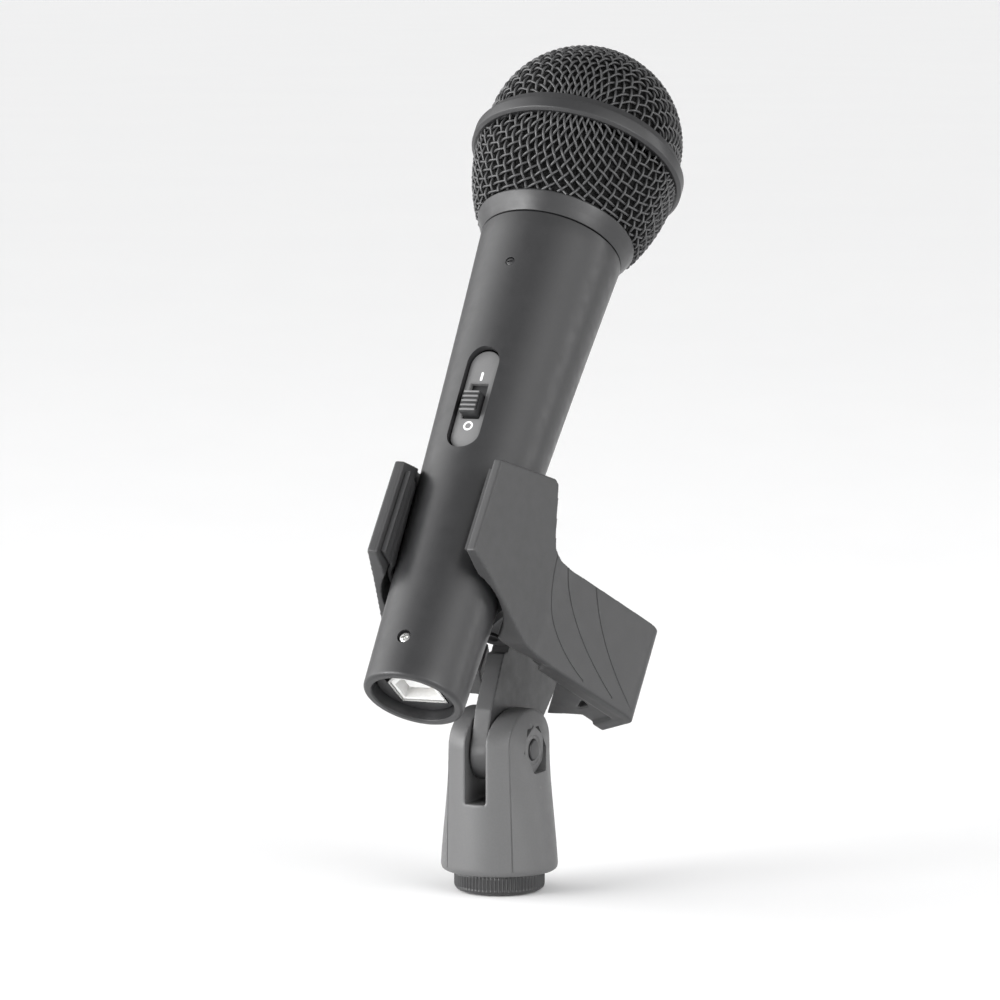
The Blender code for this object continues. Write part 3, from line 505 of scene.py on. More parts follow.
def make_socket():
    outer = END_BORE_R - 0.15
    cup = [(0, 2.8, 0), (outer - 0.3, 2.8), (outer, 3.2), (outer, 8.3), (8.0, 8.3), (8.0, 5.0), (0, 5.0, 0)]
    cup = turned(filleted(cup, 0.2), 96)
    cup = carved(cup, ("DIFFERENCE", slab(filleted(rectangle(12.5, 11.5), 0.5), 1.0, 9.0)))
    add_piece("socket_cup", cup, MIC, "microphone", "black_plastic", ["end_insert"])
    shell = carved(slab(socket_outline(0.0), 2.6, 18.5, edge=0.12),
                   ("DIFFERENCE", slab(socket_outline(0.4), 1.0, 17.5)))
    for side in (-1, 1):
        window = slab(filleted(rectangle(1.6, 5.0, (0, 7.5)), 0.3), side * 5.0, side * 7.0, "x")
        shell = carved(shell, ("DIFFERENCE", window))
    add_piece("socket_shell", shell, MIC, "microphone", "nickel", ["usb_shell"])
    liner = carved(slab(socket_outline(0.45), 3.0, 17.1, edge=0.3),
                   ("DIFFERENCE", slab(socket_outline(1.35), 2.0, 14.0)))
    tongue = slab(filleted(rectangle(5.6, 3.2), 0.4), 4.2, 15.6, edge=0.3)
    add_piece("socket_insulator", together(liner, tongue), MIC, "microphone", "white_plastic",
              ["usb_insulator"])
    contacts = []
    for x in (-1.25, 1.25):
        for side in (-1, 1):
            strip = filleted(rectangle(1.0, 0.25, (x, side * 1.62)), 0.08)
            contacts.append(slab(strip, 5.2, 14.5, edge=0.06))
    add_piece("socket_contacts", together(*contacts), MIC, "microphone", "gold")


# --- slide switch ---------------------------------------------------------------------------------
def make_switch():
    front = -SWITCH_FACE
    plate = slab(stadium(SWITCH_WIDTH, SWITCH_LENGTH), front, front + 1.2, "y", edge=0.22)
    window = slab(filleted(rectangle(4.6, 9.4, (0, -0.3)), 0.35), front - 2, front + 3, "y")
    well = slab(filleted(rectangle(5.0, 9.8, (0, -0.3)), 0.5), front - 2, front + 0.12, "y")
    plate = carved(plate, ("DIFFERENCE", window), ("DIFFERENCE", well))
    add_piece("switch_face", plate, SWITCH, "microphone", "plate_grey", ["switch_plate"])
    bar = slab(filleted(rectangle(0.6, 2.2, (0, 6.3)), 0.2), front - 0.04, front + 0.1, "y")
    ring = shifted(laid_along(tube(0.75, 1.2, -0.1, 0.04, 32), "y"), 0, front, -6.9)
    add_piece("switch_marks", together(bar, ring), SWITCH, "microphone", "print")
    rest, top, half, ridges = -1.6, front - 2.6, 2.95, 5
    side_view = [(front + 1.5, rest - half)]
    ribs = []
    for i in range(ridges):
        centre = rest - half + 2 * half * (i + 0.5) / ridges
        side_view += [(top + 0.4, centre - 0.5), (top, centre - 0.22)]
        side_view += [(top, centre + 0.22), (top + 0.4, centre + 0.5)]
        rib = filleted(rectangle(3.9, 0.46, (0, centre)), 0.12)
        ribs.append(slab(rib, top - 0.2, top + 0.3, "y", edge=0.08))
    side_view += [(front + 1.5, rest + half)]
    knob = slab(filleted(side_view, 0.12, 3), -2.1, 2.1, "x", edge=0.18)
    foot = slab(filleted(rectangle(5.4, 12.6, (0, rest)), 0.4), front + 1.3, front + 1.6, "y", edge=0.05)
    # The knob is one moulding in two greys: the rib caps lighter, as painted light on their tops, and the rest
    # near-black.
    add_piece("switch_knob", together(knob, foot), SWITCH, "switch", "black_plastic", ["switch_slider"])
    add_piece("switch_knob_ribs", together(*ribs), SWITCH, "switch", "knob")


# --- head -----------------------------------------------------------------------------------------
def basket_radius(height):
    down = (BAND_LOW - height) / (BAND_LOW - COLLAR_TOP)
    return BASKET_TOP_R - (BASKET_TOP_R - BASKET_LOW_R) * max(down, 0.0) ** 1.85


def make_collar_and_band():
    seam = HANDLE_LENGTH + 0.3
    collar = [(15.6, seam), (HANDLE_TOP_R, seam, 0.2), (HANDLE_TOP_R + 0.9, seam + 2.0, 3.0),
              (COLLAR_R - 0.05, COLLAR_TOP - 0.5, 0.6), (COLLAR_R - 0.6, COLLAR_TOP, 0.3), (15.6, COLLAR_TOP)]
    add_piece("collar", turned(filleted(collar, 0.2), 144), MIC, "microphone", "paint", ["collar_ring"])
    step = BAND_LOW + 3.4
    band = [(22.8, BAND_LOW + 0.3), (BAND_R - 0.8, BAND_LOW, 0.2), (BAND_R, BAND_LOW + 0.6, 0.35),
            (BAND_R, step, 0.12), (BAND_R - 0.3, step + 0.12, 0.1), (BAND_R - 1.15, BAND_TOP - 0.35, 0.25),
            (BAND_R - 1.7, BAND_TOP, 0.25), (22.8, BAND_TOP - 0.3)]
    add_piece("band", turned(filleted(band, 0.2), 180), MIC, "microphone", "paint", ["grille_band"])


def net_quadrant(radius):
    """One quadrant of a flat net pressed over a ball: points of even spacing both ways, z up at its pole."""
    step = PITCH / NET_STEPS / radius
    count = int(math.radians(105) / step)
    net = [[Vector((math.sin(i * step), 0, math.cos(i * step))) for i in range(count)]]
    for j in range(1, count):
        row = [Vector((0, math.sin(j * step), math.cos(j * step)))]
        for i in range(1, count):
            across, along, corner = net[j - 1][i], row[i - 1], net[j - 1][i - 1]
            mirror = across.cross(along)
            if mirror.length < 1e-9:
                break
            mirror.normalize()
            row.append(corner - mirror * (2 * corner.dot(mirror)))
        net.append(row)
    return net


def wire_paths(radius, place, low, high):
    """Centrelines of every wire as lists of (point, normal), cut to a range of heights."""
    net = net_quadrant(radius)
    wires = []
    across = len(net[0]) // NET_STEPS
    for number in range(-across, across + 1):
        column = abs(number) * NET_STEPS
        if column >= len(net[0]):
            continue
        half = []
        for row in net:
            if column >= len(row) or row[column].z < -0.16:
                break
            half.append(row[column])
        side = 1 if number >= 0 else -1
        line = [(-k, Vector((side * p.x, -p.y, p.z))) for k, p in reversed(list(enumerate(half)))][:-1]
        line += [(k, Vector((side * p.x, p.y, p.z))) for k, p in enumerate(half)]
        for family in (0, 1):
            run = []
            for k, p in line:
                unit = Vector((p.y, p.x, p.z)) if family else p
                point, normal = place(unit)
                if low <= point.z <= high:
                    lift = CRIMP * math.cos(math.pi * k / NET_STEPS) * (-1) ** (number + family)
                    run.append((point + normal * lift, normal))
                    continue
                if len(run) > 2:
                    wires.append(run)
                run = []
            if len(run) > 2:
                wires.append(run)
    return wires


def swept(paths, radius, sides=6):
    """Round wires along lists of (point, normal)."""
    bm = bmesh.new()
    for path in paths:
        rings = []
        for i, (point, normal) in enumerate(path):
            ahead = path[min(i + 1, len(path) - 1)][0] - path[max(i - 1, 0)][0]
            sideways = ahead.cross(normal).normalized()
            upright = sideways.cross(ahead).normalized()
            ring = []
            for k in range(sides):
                angle = math.tau * k / sides
                offset = (sideways * math.cos(angle) + upright * math.sin(angle)) * radius
                ring.append(bm.verts.new(point + offset))
            rings.append(ring)
        for first, second in zip(rings, rings[1:]):
            for k in range(sides):
                n = (k + 1) % sides
                bm.faces.new((first[k], first[n], second[n], second[k]))
        bm.faces.new(rings[0])
        bm.faces.new(rings[-1])
    return bm


def make_grilles():
    turn = Matrix.Rotation(NET_TURN, 4, "Z")
    sunk = WIRE_R + CRIMP + 0.02
    ball = DOME_R - sunk

    def on_dome(unit):
        return Vector((0, 0, DOME_CENTRE)) + unit * ball, unit

    dome = swept(wire_paths(ball, on_dome, BAND_TOP - 0.4, 200.0), WIRE_R)
    dome.transform(turn)
    add_piece("grille_dome", dome, MIC, "microphone", "mesh", ["grille_upper"], angle=80)
    bowl = BASKET_TOP_R - sunk

    def on_basket(unit):
        height = BAND_LOW - bowl * unit.z
        outward = Vector((unit.x, unit.y, 0))
        outward.normalize()
        slope = (basket_radius(height + 0.1) - basket_radius(height - 0.1)) / 0.2
        normal = Vector((outward.x, outward.y, -slope)).normalized()
        radius = basket_radius(height) - sunk
        return Vector((outward.x * radius, outward.y * radius, height)), normal

    basket = swept(wire_paths(bowl, on_basket, COLLAR_TOP - 0.4, BAND_LOW + 0.5), WIRE_R)
    basket.transform(turn)
    add_piece("grille_basket", basket, MIC, "microphone", "mesh", ["grille_lower"], angle=80)


def lumpy(angle, radius, height):
    """Uneven foam: a few low waves round and along it."""
    wave = math.sin(7 * angle + 0.9 * height) + math.sin(11 * angle - 1.3 * height) + math.sin(2.1 * height)
    return radius + 0.06 * wave, height


def make_foams():
    outer, inner = DOME_R - 1.55, DOME_R - 4.6
    start = 152.6
    lowest = math.degrees(math.asin((start - DOME_CENTRE) / outer))
    cap = arc((0, DOME_CENTRE), outer, lowest, 90, 28)[:-1] + [(0, DOME_CENTRE + outer)]
    cap += [(0, DOME_CENTRE + inner)] + arc((0, DOME_CENTRE), inner, lowest, 90, 16)[:-1][::-1]
    upper = add_piece("foam_dome", turned(cap, 120, lumpy), MIC, "microphone", "foam", ["foam_upper"])
    levels = [COLLAR_TOP - 1.0 + (BAND_LOW + 0.5 - COLLAR_TOP) * i / 18 for i in range(19)]
    cup = [(basket_radius(z) - 1.55, z) for z in levels]
    cup += [(basket_radius(z) - 3.7, z) for z in reversed(levels)]
    lower = add_piece("foam_basket", turned(cup, 120, lumpy), MIC, "microphone", "foam", ["foam_lower"])


# --- clip -----------------------------------------------------------------------------------------
ALONG = Vector((math.sin(FLARE), math.cos(FLARE)))
ACROSS = Vector((math.cos(FLARE), -math.sin(FLARE)))


def on_handle(back):
    """Point on the right finger handle's outer face, in plan."""
    return Vector((18.0 + math.tan(FLARE) * (back - 14.0), back))


HANDLE_CORNER = on_handle(HANDLE_CORNER_BACK)
FLANGE_END = HANDLE_CORNER - ACROSS * 12.4
JAW_TIP, BEND_CORNER = Vector((13.4, -17.3)), Vector((18.9, 15.69))
PLATE_ALONG = (BEND_CORNER - JAW_TIP).normalized()
WALL_LOW, BEND_START, WALL_HIGH = 18.0, 29.0, 66.0


def bend(height):
    """Plan of the hollow between plate and finger handle: sharp low down, and wider with height."""
    reach = 2.0 + 0.16 * max(height - BEND_START, 0.0)
    return bezier(tuple(BEND_CORNER - PLATE_ALONG * reach), tuple(BEND_CORNER),
                  tuple(BEND_CORNER + ALONG * reach * 0.8), 7)


def outside_x(back, height):
    """The right jaw's outer face: x for a distance behind the microphone axis, bend included."""
    curve = bend(height)
    if back > curve[-1][1]:
        return on_handle(back).x
    for (x0, y0), (x1, y1) in zip(curve, curve[1:]):
        if y0 <= back <= y1:
            return x0 + (x1 - x0) * (back - y0) / (y1 - y0)
    return JAW_TIP.x + (back - JAW_TIP.y) * PLATE_ALONG.x / PLATE_ALONG.y


def jaw_wall(height):
    """Right jaw in plan: round the outside from the front tip to the end flange, and back inside."""
    start, end = HANDLE_CORNER - ALONG * 5, HANDLE_CORNER - ACROSS * 2.7
    rounded = bezier(tuple(start), tuple(HANDLE_CORNER), tuple(end))
    outer = [tuple(JAW_TIP)] + bend(height) + rounded + [tuple(FLANGE_END)]
    inner = [tuple(FLANGE_END - ALONG * WALL), tuple(HANDLE_CORNER - (ALONG + ACROSS) * WALL)]
    inner += [tuple(on_handle(18.5) - ACROSS * WALL), (13.6, 14.0)]
    return outer + inner + arc((0, 0), CRADLE_R, 40, -38, 24) + [(11.1, -17.0)]


def wall_solid(side):
    """The jaw's wall from end to end, before its outline is cut."""
    rings = []
    for height in (WALL_LOW, BEND_START, WALL_HIGH):
        rings.append([(x, y, height) for x, y in mirrored(jaw_wall(height), side)])
    return joined_rings(rings, closed=False)


def jaw_side_view(low):
    """The plate beside the microphone, as (y, z) points, down to the finger handle's low edge."""
    side = [(-18, 30.5, 0.4), (-18, 54.2, 0.8), (5.34, 63.15, 2.0), (10.2, 51.0, 8.0), (11.8, 48.2, 3.0),
            (14.6, 47.0, 5.0), (24, 46.4, 0), (24, 22.2, 0), (10.5, 22.3, 6.0), (4.8, 24.1, 6.0),
            (-8, 28.4, 6.0)]
    return [(y, max(z, low)) for y, z in filleted(side, 1.0, 6)]


def floor_plan():
    """Web between the finger handle, its flange and the knuckles."""
    return [tuple(HANDLE_CORNER - (ALONG + ACROSS) * 1.2), tuple(FLANGE_END - ALONG * 0.6),
            tuple(FLANGE_END - ALONG * 6.9), (10.9, 44.6), (19.5, 28.1), (16.3, 19.4), (17.2, 13.5),
            (19.2, 17.5)]


def rim_plan():
    """Band under the finger handle's outer edge and its flange."""
    width = 5.3
    start, end = on_handle(20.0) - ACROSS * 0.9, HANDLE_CORNER - (ALONG + ACROSS) * 0.95
    return [tuple(start), tuple(end), tuple(FLANGE_END - ALONG * 0.45), tuple(FLANGE_END - ALONG * 3.4),
            tuple(HANDLE_CORNER - ACROSS * width - ALONG * 3.4), tuple(start - ACROSS * (width - 1.0))]


def mirrored(points, side):
    return [(side * x, y) for x, y in points]


def knuckle_arm(side, low, high):
    """Web from the jaw to one knuckle; the ones above the finger handle start beside the microphone."""
    root = [(11.4, 12.6), (17.6, 17.0)]
    if low > JAW_TOP:
        root = [(14.4, 5.4), (15.0, 1.0), (16.4, 7.0), (14.5, 15.0)]
    near_pin = [(4.0, 30.4), (0.4, 31.4), (-2.8, 26.4), (0.6, 24.2)]
    return slab(mirrored(root + near_pin, side), low, high)


def groove(side, start, middle, end):
    """Thin engraved line on the finger handle's outside, through three (back, height) points."""
    control = tuple(2 * middle[k] - (start[k] + end[k]) / 2 for k in (0, 1))
    path = [(Vector((side * outside_x(back, height), back, height)), Vector((side * ACROSS.x, ACROSS.y, 0)))
            for back, height in bezier(start, control, end, 40)]
    return swept([path], 0.26, 8)


# three grooves as (back, height) points, and the left jaw's inner shelf and rib in plan, with their levels
GROOVES = [((12.6, 47.2), (17.2, 32.2), (28.6, 23.2)), ((16.7, 47.4), (23.4, 34.6), (36.8, 23.6)),
           ((24.8, 47.4), (31.8, 34.2), (43.0, 23.2))]
SHELF, SHELF_LEVELS = [(3.1, 32.7), (6.4, 44.2), (30.5, 42.5), (23.5, 28.5)], (27.9, 29.6)
RIB, RIB_LEVELS = [(3.1, 32.7), (4.9, 32.2), (8.2, 43.7), (6.4, 44.2)], (27.9, 35.5)


def make_jaw(name, side, place, levels, low):
    """One jaw with its finger handle: side is 1 on the right and -1 on the left, low its handle's foot."""
    front = slab(jaw_side_view(low), -40, 40, "x")
    rear = slab(rectangle(90, 44, (0, 42)), low, JAW_TOP)
    floor = slab(mirrored(floor_plan(), side), low + 0.7, low + 2.6)
    rim = slab(mirrored(rim_plan(), side), low + 0.05, low + 2.0)
    roof = slab(mirrored(floor_plan(), side), JAW_TOP - 2.4, JAW_TOP - 0.5)
    pocket = slab(mirrored([(22.7, 36.6), (23.3, 39.6), (19.6, 41.4)], side), low - 1, low + 3.5)
    steps = [("INTERSECT", carved(front, ("UNION", rear)))]
    steps += [("UNION", carved(floor, ("UNION", rim))), ("UNION", roof)]
    if side < 0:
        for plan, heights in ((SHELF, SHELF_LEVELS), (RIB, RIB_LEVELS)):
            steps.append(("UNION", slab(mirrored(plan, side), *heights)))
    for foot, head in levels:
        steps.append(("UNION", knuckle_arm(side, foot, head)))
        steps.append(("UNION", shifted(rod(KNUCKLE_R, foot, head, 0.0, 48), 0, PIN_BACK, 0)))
    bore = shifted(rod(PIN_R + 0.3, 20, 75, 0.0, 32), 0, PIN_BACK, 0)
    steps += [("DIFFERENCE", bore), ("DIFFERENCE", pocket), ("ROUND", 0.3, 3)]
    steps += [("DIFFERENCE", groove(side, *points)) for points in GROOVES]
    bm = carved(wall_solid(side), *steps)
    add_piece(name + "_piece", bm, place, name, "clip_plastic", [name], angle=50)


def make_pad(name, side, place):
    """Rubber liner between a jaw and the tapered handle, with ribs along it and a straight front part."""
    low, high, steps, ribs = 31.5, 53.0, 110, 12
    backing = arc((0, 0), CRADLE_R - 0.2, 36, -38, 80)
    backing += bezier((11.3, -9.2), (11.1, -12.2), (10.95, -15.3), 29)
    rings = []
    for height in (low, low + 0.35, high - 0.35, high):
        trim = 0.3 if height in (low, high) else 0.0
        fit = handle_radius(height) + 0.3 + trim
        front = bezier((fit * 0.788, -fit * 0.616), (10.0, -10.6), (9.75, -15.3), 29)
        facing = arc((0, 0), fit, 36, -38, 80) + front
        row = [(side * x * (1 - trim * 0.06), y, height) for x, y in backing]
        for i in range(steps, -1, -1):
            x, y = facing[i]
            rib = 1 + 0.016 * (1 - abs(math.cos(math.pi * ribs * i / steps)))
            row.append((side * x * rib, y * rib, height))
        rings.append(row)
    liner = joined_rings(rings, closed=False)
    add_piece(name + "_liner", liner, place, name.replace("pad", "jaw"), "rubber", [name])


def tongue_outline():
    """The tongue from the side: round foot, back, then the front edge with room for the jaws' knuckles."""
    disc = arc((43.3, 11.0), 6.7, 195, 307.5, 30) + arc((50.0, 16.4), 7.4, 307.5, 351.5, 16)
    rear = filleted([disc[-1], (62.3, 39.4, 1.0), (61.6, 42.0, 2.0), (55.0, 47.0, 4.0), (46.0, 49.8, 3.0),
                     (PIN_BACK + 2.6, 49.8, 0)], 0.5)[1:-1]
    (low_barrel, low_top), (high_barrel, high_top) = TONGUE_BARRELS
    clear, inset, behind = PIN_BACK + KNUCKLE_R + 0.8, 0.2, PIN_BACK + 2.6
    front = [(behind, high_top - inset), (behind, high_barrel + inset), (clear, high_barrel + inset),
             (clear, low_top - inset), (behind, low_top - inset), (behind, low_barrel + inset),
             (clear, low_barrel + inset), (clear, 32.2), (31.7, 30.8), (33.9, 17.0)]
    return disc + rear + front


def make_tongue():
    half = TONGUE_THICK / 2
    steps = []
    for low, high in TONGUE_BARRELS:
        steps.append(("UNION", shifted(rod(KNUCKLE_R, low, high, 0.0, 48), 0, PIN_BACK, 0)))
    pin_bore = shifted(rod(PIN_R + 0.3, 20, 75, 0.0, 32), 0, PIN_BACK, 0)
    bolt_bore = shifted(laid_along(rod(BOLT_R + 0.3, -10, 10, 0.0, 40), "x"), 0, AXIS_FORWARD, PIVOT_ALONG)
    bm = carved(slab(tongue_outline(), -half, half, "x"), *steps, ("DIFFERENCE", pin_bore),
                ("DIFFERENCE", bolt_bore), ("ROUND", 0.26, 2))
    add_piece("tongue_piece", bm, CLIP, "clip", "clip_plastic", ["tongue"], angle=50)


def make_hinge():
    pin = filleted([(0, PIN_LOW, 0), (PIN_R, PIN_LOW), (PIN_R, PIN_TOP, 0.1), (2.6, PIN_TOP),
                    (2.6, PIN_TOP + 1.0, 0.4), (0, PIN_TOP + 1.0, 0)], 0.25)
    rivet = shifted(turned(pin, 48), 0, PIN_BACK, 0)
    add_piece("hinge_rivet", rivet, CLIP, "clip", "dark_steel", ["hinge_pin"])
    turns, per_turn, coil_r, wire, low, high = 3.5, 36, 2.9, 0.5, 43.3, 47.3
    count = int(turns * per_turn)
    centre = Vector((0, PIN_BACK, 0))
    path = []
    for i in range(count + 1):
        angle = math.tau * i / per_turn + math.pi
        outward = Vector((math.cos(angle), math.sin(angle), 0))
        path.append((centre + outward * coil_r + Vector((0, 0, low + (high - low) * i / count)), outward))
    leg = Vector((3.6, 9.0, 0))
    start, end = path[0][0] + Vector((-leg.x, leg.y, 0)), path[-1][0] + leg
    path = [(start, path[0][1])] + path + [(end, path[-1][1])]
    spring = swept([path], wire, 12)
    add_piece("spring_wire", spring, CLIP, "clip", "dark_steel", ["torsion_spring"], 60)


# --- stand adapter --------------------------------------------------------------------------------
def clevis_edge(height):
    """Where the round front meets the side face."""
    edge_x = 8.5 - 0.8 * (height - CLEVIS_LOW) / (EAR_TOP - CLEVIS_LOW)
    return edge_x, math.sqrt(CLEVIS_R ** 2 - edge_x ** 2)


def clevis_section(height):
    """Round in front and behind, with sides that flatten towards the ears' tops."""
    rise = (height - CLEVIS_LOW) / (EAR_TOP - CLEVIS_LOW)
    edge_x, edge_y = clevis_edge(height)
    bulge = (CLEVIS_R - edge_x) * (1 - min(rise, 1.0) ** 1.25) + 0.25
    radius = (edge_y ** 2 + bulge ** 2) / (2 * bulge)
    half = math.degrees(math.asin(edge_y / radius))
    corner = math.degrees(math.atan2(edge_y, edge_x))
    centre = edge_x + bulge - radius
    right = arc((centre, 0), radius, -half, half, 28)
    back = arc((0, 0), CLEVIS_R, corner, 180 - corner, 20)[1:-1]
    left = arc((-centre, 0), radius, 180 - half, 180 + half, 28)
    front = arc((0, 0), CLEVIS_R, 180 + corner, 360 - corner, 20)[1:-1]
    return [(x, y, height) for x, y in right + back + left + front]


def ear_levels():
    """Heights up the clevis with how much its depth shrinks: upright sides, then the ears' round tops."""
    start, rise = CLEVIS_LOW + 1.3, EAR_TOP - EAR_SPRING_LINE
    upright = [(start + (EAR_SPRING_LINE - start) * i / 18, 1.0) for i in range(18)]
    turns = [math.radians(87 * i / 22) for i in range(23)]
    return upright + [(EAR_SPRING_LINE + rise * math.sin(t), math.cos(t)) for t in turns]


def crease(side):
    """Thin engraved edge round one side face: up its front corner, over the ear and down behind."""
    path = []
    for height, depth in ear_levels():
        edge_x, edge_y = clevis_edge(height)
        path.append((edge_x, edge_y * depth, height))
    path = [(x, -y, z) for x, y, z in path] + list(reversed(path))
    outward = Vector((side * 0.7, 0, 0.7)).normalized()
    return swept([[(Vector((side * x, y, z)), outward) for x, y, z in path]], 0.2, 6)


def make_clevis():
    foot = clevis_section(CLEVIS_LOW)
    rings = [[(x * 0.93, y * 0.93, CLEVIS_LOW) for x, y, z in foot],
             [(x * 0.98, y * 0.98, CLEVIS_LOW + 0.4) for x, y, z in foot]]
    for height, depth in ear_levels():
        rings.append([(x, y * depth, height) for x, y, z in clevis_section(height)])
    slot = slab(rectangle(SLOT_WIDTH, 40), SLOT_FLOOR, 60)
    hole = shifted(laid_along(rod(BOLT_R + 0.3, -20, 20, 0.0, 48), "x"), 0, 0, BOLT_HEIGHT)
    socket = rod(INSERT_R + 0.3, 0, 17.3, 0.0, 96)
    nut = slab([(y, z + BOLT_HEIGHT) for y, z in hexagon(10.5)], 7.0, 20, "x")
    head = shifted(laid_along(rod(5.2, -20, -7.0, 0.0, 64), "x"), 0, 0, BOLT_HEIGHT)
    steps = [("DIFFERENCE", cut) for cut in (slot, hole, socket)] + [("ROUND", 0.3, 3)]
    steps += [("DIFFERENCE", cut) for cut in (nut, head, crease(1), crease(-1))]
    bm = carved(joined_rings(rings, closed=False), *steps)
    add_piece("clevis_piece", bm, STAND, "stand", "stand_plastic", ["clevis"], angle=50)


def make_bolt():
    bolt = turned(filleted([(0, -8.9, 0), (4.6, -8.9, 0.6), (4.6, -7.3), (BOLT_R, -7.3), (BOLT_R, 9.3, 0.4),
                            (0, 9.3, 0)], 0.15), 64)
    slot = slab(rectangle(9.6, 1.1), -9.6, -8.2)
    bolt = shifted(laid_along(carved(bolt, ("DIFFERENCE", slot)), "x"), 0, 0, BOLT_HEIGHT)
    add_piece("swivel_screw", bolt, STAND, "stand", "paint", ["swivel_bolt"])
    nut = slab([(y, z) for y, z in filleted(hexagon(10.0), 0.4)], 7.3, 9.1, edge=0.15)
    dome = turned(filleted([(0, 7.0, 0), (6.2, 7.0, 0), (6.2, 8.6, 0), (5.5, 9.1, 0.2), (3.6, 9.1, 0.2),
                            (3.3, 8.8, 0.2), (0, 8.8, 0)], 0.2), 72)
    bore = rod(BOLT_R + 0.15, 0, 20, 0.0, 48)
    nut = laid_along(carved(nut, ("INTERSECT", dome), ("DIFFERENCE", bore)), "x")
    add_piece("swivel_hex", shifted(nut, 0, 0, BOLT_HEIGHT), STAND, "stand", "stand_plastic", ["swivel_nut"])


def insert_shape(angle, radius, height):
    """Ribs round the flange, and a thread in the bore and on the sleeve above it."""
    def thread(pitch, depth):
        turn = (height / pitch - angle / math.tau) % 1.0
        return depth * (1 - abs(2 * turn - 1))

    if radius < STUD_BORE_R + 0.1 and 0.8 < height < INSERT_TOP - 0.8:
        return radius + thread(1.5875, 0.55) - 0.1, height
    if INSERT_R - 0.1 < radius < INSERT_R + 0.1 and height > FLANGE_HEIGHT + 0.3:
        return radius - thread(0.94, 0.35), height
    if radius > FLANGE_R - 0.25 and 0.9 < height < FLANGE_HEIGHT - 0.1:
        ribs = 72
        return radius - 0.28 * abs(math.sin(ribs * angle / 2)) ** 0.7, height
    return radius, height


def make_insert():
    def rise(radius, low, high, steps):
        return [(radius, low + (high - low) * i / steps) for i in range(steps + 1)]

    foot = filleted([(STUD_BORE_R + 0.5, 0.0, 0.1), (FLANGE_R, 0.0, 1.4), (FLANGE_R, 3.0, 0)], 0.2, 8)[:-1]
    outline = foot + rise(FLANGE_R, 1.6, FLANGE_HEIGHT - 0.35, 5)
    outline += [(FLANGE_R - 0.3, FLANGE_HEIGHT), (INSERT_R, FLANGE_HEIGHT)]
    outline += rise(INSERT_R, FLANGE_HEIGHT + 0.2, INSERT_TOP - 0.8, 48)
    outline += [(INSERT_R - 0.8, INSERT_TOP), (STUD_BORE_R + 0.5, INSERT_TOP)]
    outline += list(reversed(rise(STUD_BORE_R, 0.6, INSERT_TOP - 0.6, 56)))
    add_piece("insert_ring", turned(outline, 432, insert_shape), STAND, "stand", "paint", ["thread_insert"],
              angle=60)


# --- floor, light and camera ----------------------------------------------------------------------
def make_stage():
    bm = bmesh.new()
    bmesh.ops.create_grid(bm, x_segments=8, y_segments=8, size=60.0)
    mesh = bpy.data.meshes.new("floor")
    bm.to_mesh(mesh)
    bm.free()
    n = Nodes("floor")
    n.link(n.blend(n.noise(300.0), (0.94, 0.94, 0.945), (0.97, 0.97, 0.97)), n.shader.inputs["Base Color"])
    n.link(n.span(n.noise(40.0), 0.3, 0.7, 0.75, 0.9), n.shader.inputs["Roughness"])
    mesh.materials.append(n.material)
    floor = bpy.data.objects.new("floor", mesh)
    floor.location.z = -0.0003
    bpy.context.scene.collection.objects.link(floor)


def add_light(name, azimuth, elevation, distance, width, height, power):
    """Soft box that faces the object; azimuth 0 is in front, along -y, and 90 is to the right."""
    data = bpy.data.lights.new(name, "AREA")
    data.shape, data.size, data.size_y, data.energy = "RECTANGLE", width, height, power
    lamp = bpy.data.objects.new(name, data)
    a, e = math.radians(azimuth), math.radians(elevation)
    back = Vector((math.sin(a) * math.cos(e), -math.cos(a) * math.cos(e), math.sin(e)))
    lamp.location = Vector((0, 0, 0.11)) + back * distance
    lamp.rotation_euler = back.to_track_quat("Z", "Y").to_euler()
    bpy.context.scene.collection.objects.link(lamp)


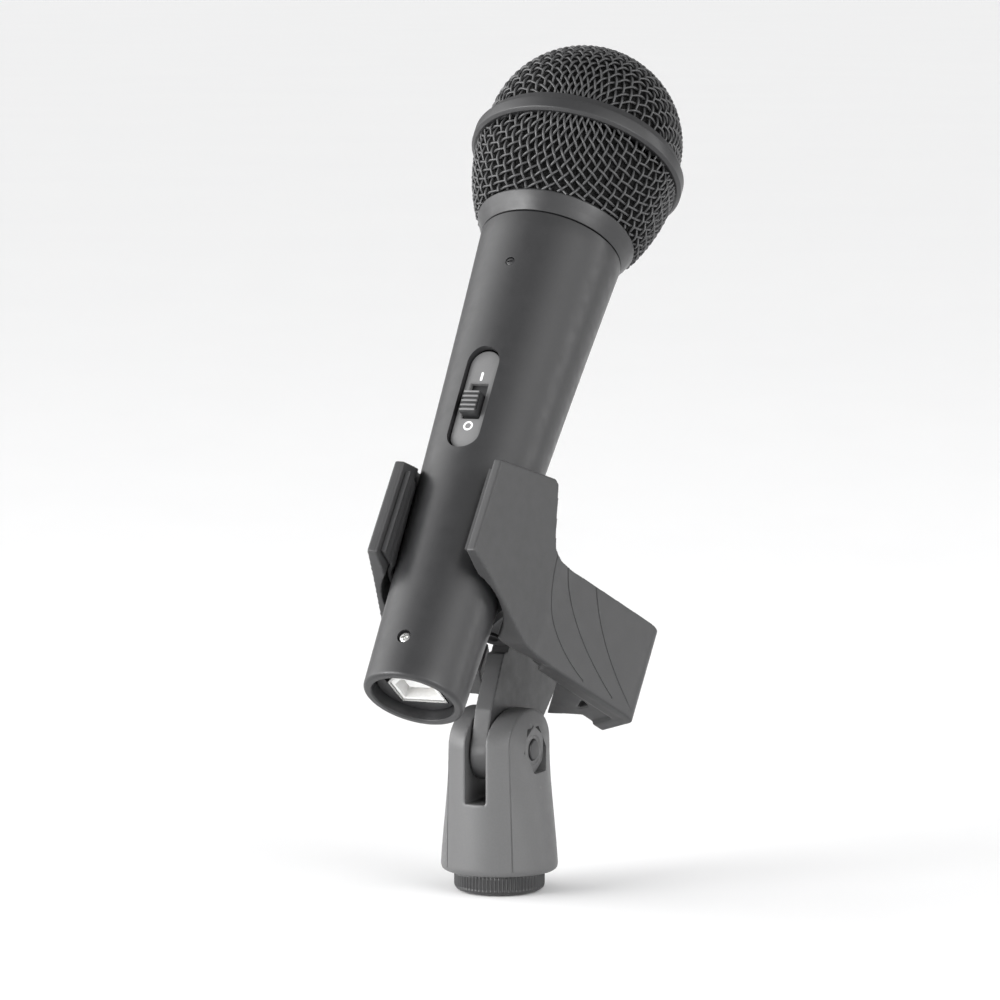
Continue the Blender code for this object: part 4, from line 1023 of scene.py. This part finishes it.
def make_light():
    """A dim studio that glows on the left and right, lower on the left, as two big side soft boxes would,
    and three low lights: front left, right, and behind on the right."""
    world = bpy.data.worlds.new("studio")
    world.use_nodes = True
    tree = world.node_tree

    def sum_of(operation, first, second):
        step = tree.nodes.new("ShaderNodeMath")
        step.operation = operation
        for value, socket in ((first, step.inputs[0]), (second, step.inputs[1])):
            if isinstance(value, float):
                socket.default_value = value
            else:
                tree.links.new(value, socket)
        return step.outputs["Value"]

    background = tree.nodes["Background"]
    background.inputs["Color"].default_value = (1.0, 1.0, 1.0, 1.0)
    split = tree.nodes.new("ShaderNodeSeparateXYZ")
    tree.links.new(tree.nodes.new("ShaderNodeTexCoord").outputs["Generated"], split.inputs["Vector"])
    across, behind, up = split.outputs["X"], split.outputs["Y"], split.outputs["Z"]
    below = sum_of("ADD", sum_of("MULTIPLY", across, -0.14), 0.2)
    low = sum_of("MULTIPLY", sum_of("ADD", up, below), sum_of("SUBTRACT", 1.0, up))
    ahead = sum_of("MAXIMUM", sum_of("SUBTRACT", 0.65, behind), 0.0)
    sides = sum_of("MULTIPLY", sum_of("MULTIPLY", across, across), sum_of("MAXIMUM", low, 0.0))
    glow = sum_of("ADD", sum_of("MULTIPLY", sum_of("MULTIPLY", sides, ahead), SIDE_GLOW), ROOM_GLOW)
    tree.links.new(glow, background.inputs["Strength"])
    bpy.context.scene.world = world
    add_light("front_left", -36, 5, 1.3, 0.8, 0.8, 21)
    add_light("right_fill", 66, 6, 1.3, 0.6, 0.8, 6)
    add_light("right_rim", 122, 8, 1.4, 0.25, 0.9, 3)
    bpy.context.scene.view_settings.view_transform = "Standard"


def make_camera():
    data = bpy.data.cameras.new("camera")
    data.lens, data.sensor_width = LENS, 36.0
    data.clip_start, data.clip_end = 0.05, 200.0
    camera = bpy.data.objects.new("camera", data)
    a, e = VIEW_AZIMUTH, VIEW_ELEVATION
    back = Vector((math.sin(a) * math.cos(e), -math.cos(a) * math.cos(e), math.sin(e)))
    right = Vector((math.cos(a), math.sin(a), 0))
    up = back.cross(right)
    place = VIEW_TARGET + back * VIEW_DISTANCE
    aim = VIEW_TARGET + right * AIM_RIGHT + up * AIM_UP
    look = (place - aim).to_track_quat("Z", "Y") @ Matrix.Rotation(VIEW_ROLL, 3, "Z").to_quaternion()
    camera.location = place
    camera.rotation_mode = "QUATERNION"
    camera.rotation_quaternion = look
    bpy.context.scene.collection.objects.link(camera)
    bpy.context.scene.camera = camera


def dress_cad_nodes():
    """Give every CAD node that stays its slot's material."""
    slots = {part["node"]: part["material_slot"] for part in frame["record"]["subparts"]}
    for name, node in frame["nodes"].items():
        for slot in node.material_slots:
            slot.material = LOOKS[slots[name]]


make_handle()
make_screws()
make_socket()
make_switch()
make_collar_and_band()
make_grilles()
make_foams()
make_jaw("jaw_right", 1, CLIP, RIGHT_KNUCKLES, JAW_LOW)
make_jaw("jaw_left", -1, LEFT_CLIP, LEFT_KNUCKLES, LEFT_LOW)
make_pad("pad_right", 1, CLIP)
make_pad("pad_left", -1, LEFT_CLIP)
make_tongue()
make_hinge()
make_clevis()
make_bolt()
make_insert()
dress_cad_nodes()
make_stage()
make_light()
make_camera()
